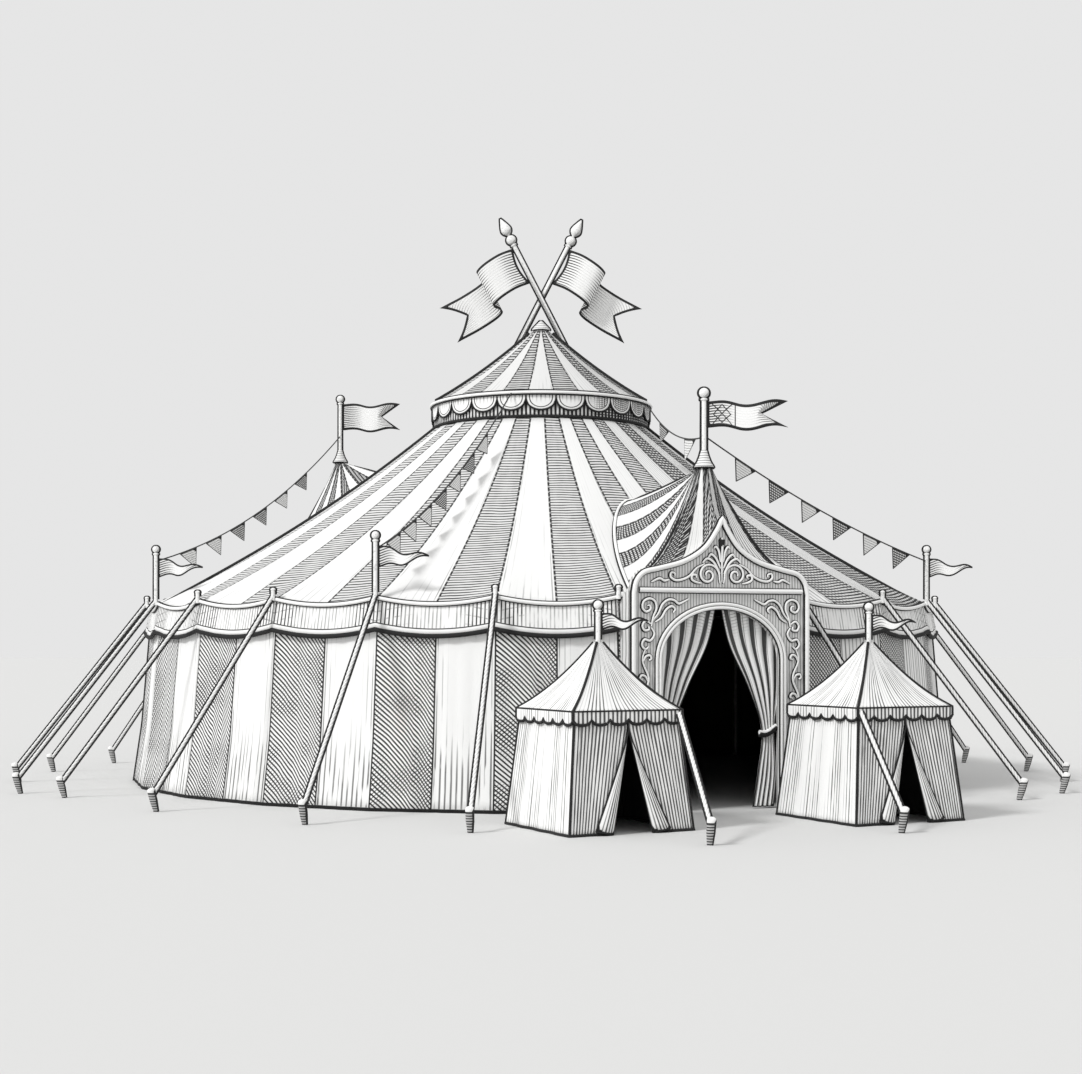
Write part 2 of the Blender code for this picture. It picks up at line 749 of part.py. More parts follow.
def portal_mouldings():
    """The arch's moulding, the crossbar over it, and the column beside each jamb, on the board's face."""
    low = PORTAL_FACE + GAP
    outline = band(arch(ARCH_HALF_WIDTH, ARCH_TOP, 10), arch(ARCH_HALF_WIDTH + 0.13, ARCH_TOP + 0.13, 10))
    plate("arch_moulding", outline, portal_point, low, low + 0.06, "carved_board")
    bar = [(-1.69, 4.04), (1.69, 4.04), (1.69, 4.13), (-1.69, 4.13)]
    plate("portal_crossbar", bar, portal_point, low, low + 0.05, "carved_board")
    edge = [(-along, height) for along, height in reversed(GABLE[1:])] + GABLE
    inner = [(along * 0.955, height - 0.10) for along, height in edge]
    plate("gable_moulding", band(inner, edge), portal_point, low, low + 0.06, "carved_board")


def curtain(name, side):
    """One door curtain, hung behind the arch and drawn to the side in folds."""
    top = 3.86
    levels = [(0.03, 0.72, 1.18), (0.7, 0.84, 1.24), (1.47, 0.92, 1.20), (2.3, 0.62, 1.30), (3.1, 0.22, 1.34), (top, 0.03, 1.38)]
    steps = 8
    outer = []
    inner = []
    for height, near_edge, far_edge in levels:
        row = []
        back = []
        for step in range(steps + 1):
            along = side * mix(near_edge, far_edge, step / steps)
            fold = 0.03 * (step % 2)
            row.append(portal_point(along, PORTAL_BACK - GAP - fold, height))
            back.append(portal_point(along, PORTAL_BACK - 0.05 - fold, height))
        outer.append(row)
        inner.append(back)
    sheet(name, outer, inner, "dark_canvas")


def fan(name, top, hole, edge, powers, rows, look):
    """A sagging canopy: spokes of canvas from a ring about the mast down to each point of its edge."""
    outer = []
    for row in range(rows + 1):
        share = row / rows
        line = []
        for point, power in zip(edge, powers):
            flat = Vector((point.x - top.x, point.y - top.y, 0)).normalized() * hole
            start = top + flat
            spot = mix(start, point, share)
            spot.z = point.z + (start.z - point.z) * (1 - share) ** power
            line.append(spot)
        outer.append(line)
    columns = len(edge)
    points = [point for row in outer for point in row]
    faces = []
    for row in range(rows):
        for column in range(columns):
            after = (column + 1) % columns
            faces += split(
                (row * columns + column, row * columns + after, (row + 1) * columns + after, (row + 1) * columns + column)
            )
    canopy = mesh_object(name, points, faces, look)
    if sum(face.normal.z for face in canopy.data.polygons) < 0:
        canopy.data.flip_normals()
    thicken = canopy.modifiers.new("canvas", "SOLIDIFY")
    thicken.thickness = CANVAS
    thicken.offset = -1
    thicken.use_even_offset = True
    return canopy


def roof_height_at(spot):
    """The main roof's height at a point in plan, taken as round."""
    out = sqrt(spot.x**2 + spot.y**2)
    return roof_height((out - CROWN_RADIUS) / (EAVE_RADIUS - CROWN_RADIUS))


def canopy_rim(azimuth, half_angle, ridge_end, count):
    """The canopy's edge on the main roof, from its right-hand post over its ridge's end to its left-hand post."""
    reach = EAVE_RADIUS * cos(radians(half_angle)) - 0.06
    width = EAVE_RADIUS * sin(radians(half_angle)) - 0.02
    bury = 0.10
    angle = radians(azimuth)
    outwards = Vector((sin(angle), -cos(angle), 0))
    across = Vector((cos(angle), sin(angle), 0))
    points = []
    for step in range(-count, count + 1):
        share = (abs(step) / count) ** 1.4
        out = mix(ridge_end, reach, share)
        side = -1 if step > 0 else 1
        spot = outwards * out + across * side * width * share**0.6
        spot.z = roof_height_at(spot) - bury
        points.append(spot)
    return points


def porch_canopy():
    """The small peaked canopy over the portal."""
    top = portal_point(0, POST_CIRCLE * cos(radians(PORTAL_HALF_ANGLE)), PORCH_TOP)
    rim = canopy_rim(PORTAL_AZIMUTH, PORTAL_HALF_ANGLE, PORCH_RIDGE_END, 5)
    front = []
    for along, height in GABLE[:-1]:
        front.append((along, height - 0.06))
    outline = [(-along, height) for along, height in reversed(front[1:])] + front
    edge = rim + [portal_point(0.985 * along, PORTAL_BACK - GAP, height) for along, height in outline]
    powers = [2.0] * len(rim) + [1.7] * len(outline)
    powers[5] = 1.35
    powers[4] = powers[6] = 1.6
    canopy = fan("porch_canopy", top, CANOPY_HOLE, edge, powers, 5, "canvas")
    cut(canopy, roof_cutter("porch_canopy_seat"))
    board = [(-2.5, 3.5), (2.5, 3.5), (2.5, 6.5), (-2.5, 6.5)]
    cut(canopy, plate("porch_canopy_face", board, portal_point, PORTAL_BACK - GAP, PORTAL_FACE + 0.3, "canvas"))


def rear_canopy():
    """The taller canopy raised over four bays at the back."""
    top = polar(POST_CIRCLE, REAR_AZIMUTH, REAR_TOP)
    rim = canopy_rim(REAR_AZIMUTH, 2 * REAR_BAY, REAR_RIDGE_END, 7)
    outline = []
    for bay in (-1.5, -1.0, -0.5, 0.0, 0.5, 1.0, 1.5):
        factor = cos(radians(REAR_BAY / 2)) if bay % 1 else 1.0
        outline.append(polar((EAVE_RADIUS - 0.03) * factor, REAR_AZIMUTH + bay * REAR_BAY, EAVE_HEIGHT - 0.25))
    edge = rim + outline
    powers = [1.8] * len(rim) + [1.7, 1.5, 1.2, 1.0, 1.2, 1.5, 1.7]
    powers[7] = 1.25
    powers[6] = powers[8] = 1.5
    canopy = fan("rear_canopy", top, CANOPY_HOLE, edge, powers, 6, "canvas")
    cut(canopy, roof_cutter("rear_canopy_seat"))


def mast(name, foot, canopy_top, top):
    """A mast that runs up through its canopy, with a small cap that closes the canopy's top, and a ball."""
    cap = canopy_top + GAP
    profile = [
        (MAST_RADIUS, foot.z), (MAST_RADIUS, cap), (0.19, cap), (0.17, cap + 0.03), (0.08, cap + 0.24),
        (MAST_TIP_RADIUS, cap + 0.34), (MAST_TIP_RADIUS, top - 0.2), (0.09, top - 0.14), (0.105, top - 0.07), (0.06, top),
    ]
    turned(name, foot, profile, "wood")


def pole_clearance(radius, run, half_width):
    """How far from an eight-sided pole's axis a square end of this half width just clears its nearest facet."""
    turn = abs((atan2(run.y, run.x) + pi / 8) % (pi / 4) - pi / 8)
    facet = radius * cos(pi / 8) / cos(turn) + half_width * tan(turn)
    return min(facet, radius * cos(pi / 8 - turn)) + GAP


def bunting(name, start, end, sag, flags, span, width, pole_radii):
    """A line of pennants cut as one strip: a cord's depth along the top, with a tooth for each pennant."""
    run = Vector((end.x - start.x, end.y - start.y, 0))
    length = run.length
    run.normalize()
    half_thick = 0.008
    rim_gap = 0.012
    start = start + run * (pole_clearance(pole_radii[0], run, half_thick) if pole_radii[0] else rim_gap)
    end = end - run * (pole_clearance(pole_radii[1], run, half_thick) if pole_radii[1] else rim_gap)
    side = Vector((-run.y, run.x, 0)) * half_thick
    cord = 0.03
    drop = 0.48
    half = width / length / 2

    def line(share):
        spot = mix(start, end, share)
        spot.z -= 4 * sag * share * (1 - share)
        return spot

    top = [line(0.0)]
    bottom = [line(0.0) - Vector((0, 0, cord))]
    for flag in range(flags):
        middle = mix(span[0] + half, span[1] - half, flag / (flags - 1))
        upper = middle + half if end.z > start.z else middle - half
        for share, tip_share, depth in (
            (middle - half, middle - half, cord), (middle, upper, drop), (middle + half, middle + half, cord)
        ):
            top.append(line(share))
            bottom.append(line(tip_share) - Vector((0, 0, depth)))
    top.append(line(1.0))
    bottom.append(line(1.0) - Vector((0, 0, cord)))
    outer = [[point + side for point in row] for row in (top, bottom)]
    inner = [[point - side for point in row] for row in (top, bottom)]
    sheet(name, outer, inner, "bunting")


def buntings():
    porch_mast_knot = portal_point(0, POST_CIRCLE * cos(radians(PORTAL_HALF_ANGLE)), 7.05)
    rear_mast_knot = polar(POST_CIRCLE, REAR_AZIMUTH, 8.85)
    west, front, east = [polar(PEG_CIRCLE, nearest_post(azimuth), 4.9) for azimuth in FLAG_POSTS]
    crown_front = polar(CUPOLA_RADIUS, -14.6, 8.69)
    crown_east = polar(CUPOLA_RADIUS, 72, 8.66)
    bunting("bunting_rear", west, rear_mast_knot, 0.50, 6, (0.10, 0.78), 0.85, (PEG_RADIUS, MAST_TIP_RADIUS))
    bunting("bunting_front", front, crown_front, 0.40, 7, (0.06, 0.80), 0.62, (PEG_RADIUS, None))
    bunting("bunting_crown", crown_east, porch_mast_knot, 0.30, 2, (0.25, 0.88), 1.3, (None, MAST_TIP_RADIUS))
    bunting("bunting_east", porch_mast_knot, east, 0.18, 6, (0.12, 0.92), 0.58, (MAST_TIP_RADIUS, PEG_RADIUS))


def booth_point(centre, along, across, height):
    """A point in a booth's own frame, turned on the ground about its centre."""
    angle = radians(BOOTH_TURN)
    return Vector(
        (
            centre.x + along * cos(angle) - across * sin(angle),
            centre.y + along * sin(angle) + across * cos(angle),
            height,
        )
    )


CORNERS = [(-1, -1), (0, -1), (1, -1), (1, 0), (1, 1), (0, 1), (-1, 1), (-1, 0)]


def square_ring(centre, half, height):
    return [booth_point(centre, half * along, half * across, height) for along, across in CORNERS]


def booth_roof(name, centre):
    """A square peaked roof with its hanging edge, which rests against the walls' upper part."""
    def rows(shrink):
        half = BOOTH_SKIRT_HALF - shrink
        drop = 1.2 * shrink
        levels = []
        for share in (0.0, 0.3, 0.62, 1.0):
            height = mix(BOOTH_PEAK, BOOTH_EAVE_HEIGHT, share) - 0.45 * share * (1 - share) - drop
            levels.append(square_ring(centre, mix(BOOTH_POLE_RADIUS + GAP, half, share), height))
        levels.append(square_ring(centre, half, BOOTH_SKIRT_LOW))
        return levels

    return sheet(name, rows(0.0), rows(BOOTH_CLOTH), "canvas", around=True)


def booth_walls(name, centre):
    """Four flared walls with a three-cornered doorway in the side that faces the front."""
    rows = []
    for inset in (0.0, CANVAS):
        low = square_ring(centre, BOOTH_BASE / 2 - inset, 0)
        high = square_ring(centre, BOOTH_EAVE / 2 - inset, BOOTH_WALL_TOP)
        rows.append([low, high])
    walls_made = sheet(name, rows[0], rows[1], "canvas", around=True)

    def place(along, depth, height):
        return booth_point(centre, along, depth, height)

    slit = [(-0.42, -0.2), (0.42, -0.2), (0.0, 1.72)]
    tool = plate(name + "_slit", slit, place, -BOOTH_BASE / 2 - 0.3, -0.6, "canvas")
    cut(walls_made, tool)


def booth(number, centre, guy_side, guy_end):
    booth_roof(f"booth_{number}_roof", centre)
    booth_walls(f"booth_{number}_walls", centre)
    profile = [
        (BOOTH_POLE_RADIUS, 0.0), (BOOTH_POLE_RADIUS, BOOTH_POLE_TOP - 0.17), (0.07, BOOTH_POLE_TOP - 0.12), (0.08, BOOTH_POLE_TOP - 0.06),
        (0.05, BOOTH_POLE_TOP),
    ]
    turned(f"booth_{number}_pole", centre, profile, "wood")
    facet = BOOTH_POLE_RADIUS * cos(pi / 8)
    hoist = centre + Vector((facet + GAP, 0, BOOTH_PEAK + 0.2))
    side_flag(f"booth_{number}_pennant", hoist, 0.3, 0.8, "canvas", tip=0.08, wave=0.05)
    half = BOOTH_SKIRT_HALF
    start = booth_point(centre, guy_side * (half - 0.06), -half - GAP, BOOTH_EAVE_HEIGHT - 0.06)
    wall_line = booth_point(centre, 1, 0, 0) - centre
    fuse(f"booth_{number}_guy", guy_and_stake(start, guy_end, wall_line), "rope")


def booths():
    turn = radians(BOOTH_TURN)
    half = BOOTH_BASE / 2
    near_corners = [Vector((0.45, -13.2, 0)), Vector((5.33, -11.57, 0))]
    along = Vector((cos(turn), sin(turn), 0))
    across = Vector((-sin(turn), cos(turn), 0))
    centres = [corner + (along + across) * half for corner in near_corners]
    booth(1, centres[0], 1, Vector((2.6, -14.2, 0)))
    booth(2, centres[1], -1, Vector((5.9, -12.5, 0)))


def flags():
    for side, word in ((-1, "left"), (1, "right")):
        crossed_pole(f"crossed_pole_{word}", side)
        crossed_banner(f"crossed_banner_{word}", side)
    facet = MAST_TIP_RADIUS * cos(pi / 8) + GAP
    porch = portal_point(0, POST_CIRCLE * cos(radians(PORTAL_HALF_ANGLE)), 7.20)
    side_flag("porch_flag", porch + Vector((facet, 0, 0)), 0.50, 1.55, "canvas", tail=0.5)
    rear = polar(POST_CIRCLE, REAR_AZIMUTH, 9.02)
    side_flag("rear_flag", rear + Vector((facet, 0, 0)), 0.72, 1.6, "canvas", tail=0.5)
    facet = PEG_RADIUS * cos(pi / 8) + GAP
    for number, azimuth in enumerate(FLAG_POSTS, 1):
        hoist = polar(PEG_CIRCLE, nearest_post(azimuth), 4.52) + Vector((facet, 0, 0))
        side_flag(f"eave_pennant_{number}", hoist, 0.42, 0.95, "canvas", tip=0.08)


def nearest_post(azimuth):
    return next(post for post in post_azimuths() if near(post, azimuth))


def main():
    clear_scene()
    king_pole()
    crown_frame()
    crown_drum()
    crown_valance()
    cupola_roof()
    crown_cap()
    eave_frame()
    main_roof()
    walls()
    eave_valance()
    portal_board()
    portal_mouldings()
    curtain("curtain_left", -1)
    curtain("curtain_right", 1)
    porch_canopy()
    rear_canopy()
    mast("porch_mast", porch_mast_foot(), PORCH_TOP, PORCH_MAST_TOP)
    mast("rear_mast", rear_mast_foot(), REAR_TOP, REAR_MAST_TOP)
    guy_groups()
    flags()
    buntings()
    booths()


main()
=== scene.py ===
# %% [markdown]
# # A circus big top, drawn in canvas, rope and carved wood
# The imported CAD model comes in as a fixed frame. Each cloth, rope and carved piece below is built
# where its CAD solid stands, and then stands for it, so that sizes and places never drift.

# %% The frame, imported from the CAD model
import json
from math import acos, atan2, cos, degrees, hypot, pi, radians, sin, sqrt

import bpy
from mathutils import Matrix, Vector

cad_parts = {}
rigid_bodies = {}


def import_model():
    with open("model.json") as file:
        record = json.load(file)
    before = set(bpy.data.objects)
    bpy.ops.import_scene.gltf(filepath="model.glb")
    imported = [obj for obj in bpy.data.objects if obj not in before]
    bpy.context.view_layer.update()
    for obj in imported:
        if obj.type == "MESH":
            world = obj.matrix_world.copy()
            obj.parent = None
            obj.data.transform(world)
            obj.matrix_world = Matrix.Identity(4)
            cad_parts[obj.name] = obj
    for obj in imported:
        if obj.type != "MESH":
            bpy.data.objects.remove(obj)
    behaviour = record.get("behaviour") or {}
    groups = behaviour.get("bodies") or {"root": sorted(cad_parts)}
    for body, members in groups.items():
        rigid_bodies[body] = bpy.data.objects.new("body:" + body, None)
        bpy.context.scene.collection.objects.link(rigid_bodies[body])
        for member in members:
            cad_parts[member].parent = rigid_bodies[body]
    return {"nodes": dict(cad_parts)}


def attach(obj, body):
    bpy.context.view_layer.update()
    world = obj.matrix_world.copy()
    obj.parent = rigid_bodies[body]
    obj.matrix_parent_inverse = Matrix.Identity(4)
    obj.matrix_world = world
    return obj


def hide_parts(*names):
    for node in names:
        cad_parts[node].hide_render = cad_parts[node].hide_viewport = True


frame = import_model()
for thing in list(bpy.data.objects):
    if thing.name not in frame["nodes"] and not thing.name.startswith("body:"):
        bpy.data.objects.remove(thing)
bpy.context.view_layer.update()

# %% [markdown]
# ## The view
# A tent is drawn from a person's eye height, far enough away that its roof doesn't loom. The
# camera looks level, because then every pole stays upright in the picture, and a small upward
# shift of the film, as on an old plate camera, lets in the flags.

# %% The camera
PICTURE_WIDE = 1082
PICTURE_TALL = 1074
FOCAL_PIXELS = 1711
HORIZON_ROW = 645.5
EYE = Vector((0, -40.5, 3.07))

view_data = bpy.data.cameras.new("view")
view_data.sensor_width = 36
view_data.lens = FOCAL_PIXELS / PICTURE_WIDE * view_data.sensor_width
view_data.shift_y = (HORIZON_ROW - PICTURE_TALL / 2) / PICTURE_WIDE
view_data.clip_end = 2000
view = bpy.data.objects.new("view", view_data)
view.location = EYE
view.rotation_euler = (pi / 2, 0, 0)
bpy.context.scene.collection.objects.link(view)
bpy.context.scene.camera = view
print("lens:", round(view_data.lens, 2), "mm, shift:", round(view_data.shift_y, 4))

# %% [markdown]
# ## Points on the tent
# Nearly everything here is round, so a point is easiest to say by its distance from the king pole,
# its azimuth from the front, and its height. The portal is flat, and has its own measure: along
# its face, out from the king pole, and up. These are the same numbers that the CAD source uses.

# %% Round and straight measures
PORTAL_AZIMUTH = 21.05
PORTAL_HALF_ANGLE = 12.0
PORTAL_HALF_WIDTH = 1.84
SIDES = ((-1, "left"), (1, "right"))
up = Vector((0, 0, 1))
ORIGIN = Vector((0, 0, 0))


def polar(radius, azimuth, height):
    """A point by its distance from the king pole, its azimuth from the front and its height."""
    angle = radians(azimuth)
    return Vector((radius * sin(angle), -radius * cos(angle), height))


def portal_point(along, out, height):
    """A point by its offset along the portal's face, its distance from the king pole and its height."""
    angle = radians(PORTAL_AZIMUTH)
    return Vector((out * sin(angle) + along * cos(angle), -out * cos(angle) + along * sin(angle), height))


def mix(low, high, share):
    return low + (high - low) * share


def spread(low, high, steps):
    """Evenly spaced values from low to high, both counted in."""
    return [mix(low, high, step / steps) for step in range(steps + 1)]


def smooth_path(knots, steps):
    """Points of a smooth curve through the knots, each a tuple of numbers."""
    knots = [Vector(knot) for knot in knots]
    ends = [2 * knots[0] - knots[1], *knots, 2 * knots[-1] - knots[-2]]
    points = []
    for first, second, third, fourth in zip(ends, ends[1:], ends[2:], ends[3:]):
        for step in range(steps):
            t = step / steps
            bend = 2 * first - 5 * second + 4 * third - fourth
            twist = 3 * (second - third) + fourth - first
            points.append(0.5 * (2 * second + (third - first) * t + bend * t**2 + twist * t**3))
    points.append(knots[-1])
    return points


# %% The posts, and the straight bays between them
RIGHT_POSTS = (33.05, 49.3, 65.3)
REAR_POST = 219.1
LEFT_POSTS = (295.0, 310.25, 325.4, 340.15, 354.7, 369.05)
EAST_BAYS = 10
WEST_BAYS = 5
posts = [
    *RIGHT_POSTS,
    *[mix(RIGHT_POSTS[-1], REAR_POST, step / EAST_BAYS) for step in range(1, EAST_BAYS)],
    *[mix(REAR_POST, LEFT_POSTS[0], step / WEST_BAYS) for step in range(WEST_BAYS)],
    *LEFT_POSTS,
]
BAYS = len(posts) - 1
FLAG_POSTS = (295.0, 340.15, 65.3)


def bay_place(azimuth):
    """Number of the bay at an azimuth, plus how far along it the azimuth lies, from 0 to 1."""
    azimuth = posts[0] + (azimuth - posts[0]) % 360
    ends = [*posts, posts[0] + 360]
    for number, (start, end) in enumerate(zip(ends, ends[1:])):
        if azimuth <= end:
            return number, (azimuth - start) / (end - start)


def bay_azimuth(place):
    """The azimuth at a number of bays after the first post."""
    number = min(int(place), BAYS - 1)
    return mix(posts[number], posts[number + 1], place - number)


def straight(azimuth):
    """How much nearer a straight eave runs at this azimuth than at its posts."""
    number, share = bay_place(azimuth)
    width = posts[number + 1] - posts[number] if number < BAYS else 2 * PORTAL_HALF_ANGLE
    return cos(radians(width / 2)) / cos(radians((share - 0.5) * width))


def swag(azimuth):
    """How far an eave droops at this azimuth: 0 at a post, 1 in the middle of a bay."""
    return 1 - (2 * bay_place(azimuth)[1] - 1) ** 2


print("posts:", len(posts), "bays:", BAYS)

# %% The main roof's surface, which the canopies also rest on
CROWN_RADIUS = 2.47
CROWN_HEIGHT = 8.17
EAVE_RADIUS = 9.0
EAVE_HEIGHT = 3.98
EAVE_SWAG = 0.13
ROOF_SAG = 0.3
CUPOLA_RIM_RADIUS = 2.60


def sagging(top, foot, sag, share):
    """The height at a share of the way down a cloth that sags between its two ends."""
    return mix(top, foot, share) - 4 * sag * share * (1 - share)


def roof_height(share):
    return sagging(CROWN_HEIGHT, EAVE_HEIGHT, ROOF_SAG, share)


def swagged_height(share, azimuth):
    return roof_height(share) - swag(azimuth) * EAVE_SWAG * share**6


def roof_point(share, azimuth, lift=0.0):
    out = mix(CROWN_RADIUS, EAVE_RADIUS * straight(azimuth), share)
    return polar(out, azimuth, swagged_height(share, azimuth) + lift)


def roof_under(spot):
    """Height of the main roof right under or over a point."""
    azimuth = atan2(spot.x, -spot.y) * 180 / pi
    edge = EAVE_RADIUS * straight(azimuth)
    return swagged_height((hypot(spot.x, spot.y) - CROWN_RADIUS) / (edge - CROWN_RADIUS), azimuth)


# %% [markdown]
# ## Materials as sums
# An engraver makes grey out of black lines: thin lines for light cloth, thick or crossed ones for
# dark cloth. Such lines are easy to say as sums on a coordinate. One small class wraps a shader
# socket, so that `place * 3 + 1` adds the Math nodes by itself.

# %% A shader socket that can be added and multiplied
class Number:
    """A number that varies over a surface. Arithmetic on it adds Math nodes to its material."""

    def __init__(self, paint, output):
        self.paint = paint
        self.output = output

    def maths(self, operation, *values):
        return self.paint.node("ShaderNodeMath", {"operation": operation}, dict(enumerate(values)))

    def __add__(self, other):
        return self.maths("ADD", self, other)

    def __sub__(self, other):
        return self.maths("SUBTRACT", self, other)

    def __rsub__(self, other):
        return self.maths("SUBTRACT", other, self)

    def __mul__(self, other):
        return self.maths("MULTIPLY", self, other)

    def __truediv__(self, other):
        return self.maths("DIVIDE", self, other)

    __radd__ = __add__
    __rmul__ = __mul__

    def fraction(self):
        return self.maths("FRACT", self)

    def floor(self):
        return self.maths("FLOOR", self)

    def size(self):
        return self.maths("ABSOLUTE", self)

    def most(self, other):
        return self.maths("MAXIMUM", self, other)

    def held(self):
        """The same number kept between 0 and 1."""
        return self.maths("MINIMUM", self, 1.0).most(0.0)

    def ramp(self, low, high):
        """0 up to low, 1 from high, and smooth between."""
        values = {0: self, 1: low, 2: high, 3: 0.0, 4: 1.0}
        return self.paint.node("ShaderNodeMapRange", {"interpolation_type": "SMOOTHSTEP"}, values)

    def fall(self, low, high):
        """1 up to low, 0 from high, and smooth between."""
        return 1.0 - self.ramp(low, high)


# %% The nodes of one material
PAPER_WARMTH = 0.99
INK_BLACK = 0.012


class Paint:
    """One material and its nodes."""

    def __init__(self, name):
        self.material = bpy.data.materials.new(name)
        self.material.use_nodes = True
        self.tree = self.material.node_tree
        self.shader = self.tree.nodes["Principled BSDF"]

    def node(self, kind, settings, values, output=0):
        """Adds a node: its settings first, then the value or link of each of its sockets."""
        made = self.tree.nodes.new(kind)
        for key, setting in settings.items():
            setattr(made, key, setting)
        for key, value in values.items():
            self.plug(made.inputs[key], value)
        return Number(self, made.outputs[output])

    def plug(self, socket, value):
        if isinstance(value, Number):
            self.tree.links.new(value.output, socket)
        else:
            socket.default_value = value

    def parts(self, vector):
        """The three numbers of a vector."""
        made = self.node("ShaderNodeSeparateXYZ", {}, {0: vector}).output.node
        return [Number(self, output) for output in made.outputs]

    def place(self):
        """East, north and up of the piece's own frame."""
        return self.node("ShaderNodeTexCoord", {}, {}, "Object")

    def cloth(self):
        """A cloth's own measures: stripes across, and metres up from its foot."""
        return self.parts(self.node("ShaderNodeUVMap", {"uv_map": "cloth"}, {}))[:2]

    def noise(self, scale, vector=None):
        vector = self.place() if vector is None else vector
        return self.node("ShaderNodeTexNoise", {}, {"Vector": vector, "Scale": scale, "Detail": 2.0})

    def stretched_noise(self, scale, along, across, depth=0.0):
        """Noise on a piece's own measures, so that it can be long one way."""
        return self.noise(scale, self.node("ShaderNodeCombineXYZ", {}, {0: along, 1: across, 2: depth}))

    def attribute(self, name):
        return self.node("ShaderNodeAttribute", {"attribute_name": name}, {}, "Fac")

    def shade(self, low, high):
        """1 where a piece turns from the light, 0 where it faces it."""
        return self.attribute("lit").fall(low, high)

    def finish(self, ink, paper, rough=0.85, relief=None, depth=0.003):
        """Ink on pale paper, a roughness, and bumps from a relief or from noise of that scale."""
        colours = self.tree.nodes.new("ShaderNodeMix")
        colours.data_type = "RGBA"
        pale = (paper, paper, paper * PAPER_WARMTH, 1)
        for number, value in ((0, ink), (6, pale), (7, (INK_BLACK, INK_BLACK, INK_BLACK, 1))):
            self.plug(colours.inputs[number], value)
        self.tree.links.new(colours.outputs[2], self.shader.inputs["Base Color"])
        self.plug(self.shader.inputs["Roughness"], rough)
        if relief is not None:
            height = relief if isinstance(relief, Number) else self.noise(relief)
            bump = self.node("ShaderNodeBump", {}, {"Strength": 0.6, "Distance": depth, "Height": height})
            self.tree.links.new(bump.output, self.shader.inputs["Normal"])
        return self.material


def lines(place, share, soft=0.25):
    """Ink lines one unit apart: share is how much of each unit is ink. 1 is ink, 0 is paper."""
    off = ((place.fraction() - 0.5) * 2).size()
    return ((share - off) / soft + 0.5).held()


def either(*inks):
    """The darkest of several inks."""
    whole = inks[0]
    for ink in inks[1:]:
        whole = whole.most(ink)
    return whole


def edge_share(inside):
    """The share of a stripe's width to its nearer edge, from the share across it."""
    return 0.5 - (inside - 0.5).size()


# %% [markdown]
# ## Cloth measures
# Each cloth is a grid of points. It carries its own measures: how many stripes across, how many
# metres up from its foot, and how wide a stripe is there. A pattern that reads these follows the
# cloth round the tent, and a stripe narrows towards the crown as the real one is cut to do.

# %% A cloth from rows of points
CLOTH_THICK = 0.010
FLAG_THICK = 0.008
LIGHT = Vector((-0.60, -0.47, 0.65))


def link(name, data):
    thing = bpy.data.objects.new(name, data)
    bpy.context.scene.collection.objects.link(thing)
    return thing


def meshed(name, points, edges, faces):
    mesh = bpy.data.meshes.new(name)
    mesh.from_pydata([tuple(point) for point in points], edges, faces)
    return mesh


def note(piece, name, values):
    """One number for each point of a mesh, for its finish to read."""
    piece.data.attributes.new(name, "FLOAT", "POINT").data.foreach_set("value", values)


def note_light(piece):
    """How far each point faces the light, from -1 to 1: the engraver's shade side is inked by it."""
    note(piece, "lit", [vertex.normal.dot(LIGHT) for vertex in piece.data.vertices])


def woven(name, rows, turns, closed=False):
    """A cloth from rows of points, top row first, with columns running to the right seen from outside."""
    columns = len(rows[0])
    climb = [[0.0] * columns]
    for upper, lower in zip(reversed(rows[:-1]), reversed(rows[1:])):
        climb.append([base + (high - low).length for base, high, low in zip(climb[-1], upper, lower)])
    climb.reverse()
    faces, corners = [], []
    for row in range(len(rows) - 1):
        for column in range(columns if closed else columns - 1):
            after = (column + 1) % columns
            this, below = row * columns, (row + 1) * columns
            faces.append((this + column, below + column, below + after, this + after))
            corners += [(column, row), (column, row + 1), (column + 1, row + 1), (column + 1, row)]
    mesh = meshed(name, [point for row in rows for point in row], [], faces)
    for corner, (column, row) in zip(mesh.uv_layers.new(name="cloth").data, corners):
        corner.uv = (turns[column], climb[row][column % columns])
    widths = []
    for points in rows:
        for column in range(columns):
            left, right = (column, column + 1) if column + 1 < len(turns) else (column - 1, column)
            gap = (points[right % columns] - points[left]).length
            widths.append(gap / max(turns[right] - turns[left], 1e-6))
    mesh.polygons.foreach_set("use_smooth", [True] * len(faces))
    piece = link(name, mesh)
    note(piece, "wide", widths)
    note_light(piece)
    return piece


def thicken(piece, thickness=CLOTH_THICK, shade_lining=None):
    """Gives a cloth its thickness, and its inner side another finish where there is one."""
    change = piece.modifiers.new("cloth", "SOLIDIFY")
    change.thickness = thickness
    change.offset = 0
    if shade_lining:
        piece.data.materials.append(shade_lining)
        change.material_offset = 1


def seat(piece, nodes):
    """Says what a piece rides on, and which CAD nodes it stands for."""
    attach(piece, "root")
    if nodes:
        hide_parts(*nodes)
    return piece


def dress(piece, finish, slot, *nodes):
    piece.data.materials.append(finish)
    return seat(piece, nodes)
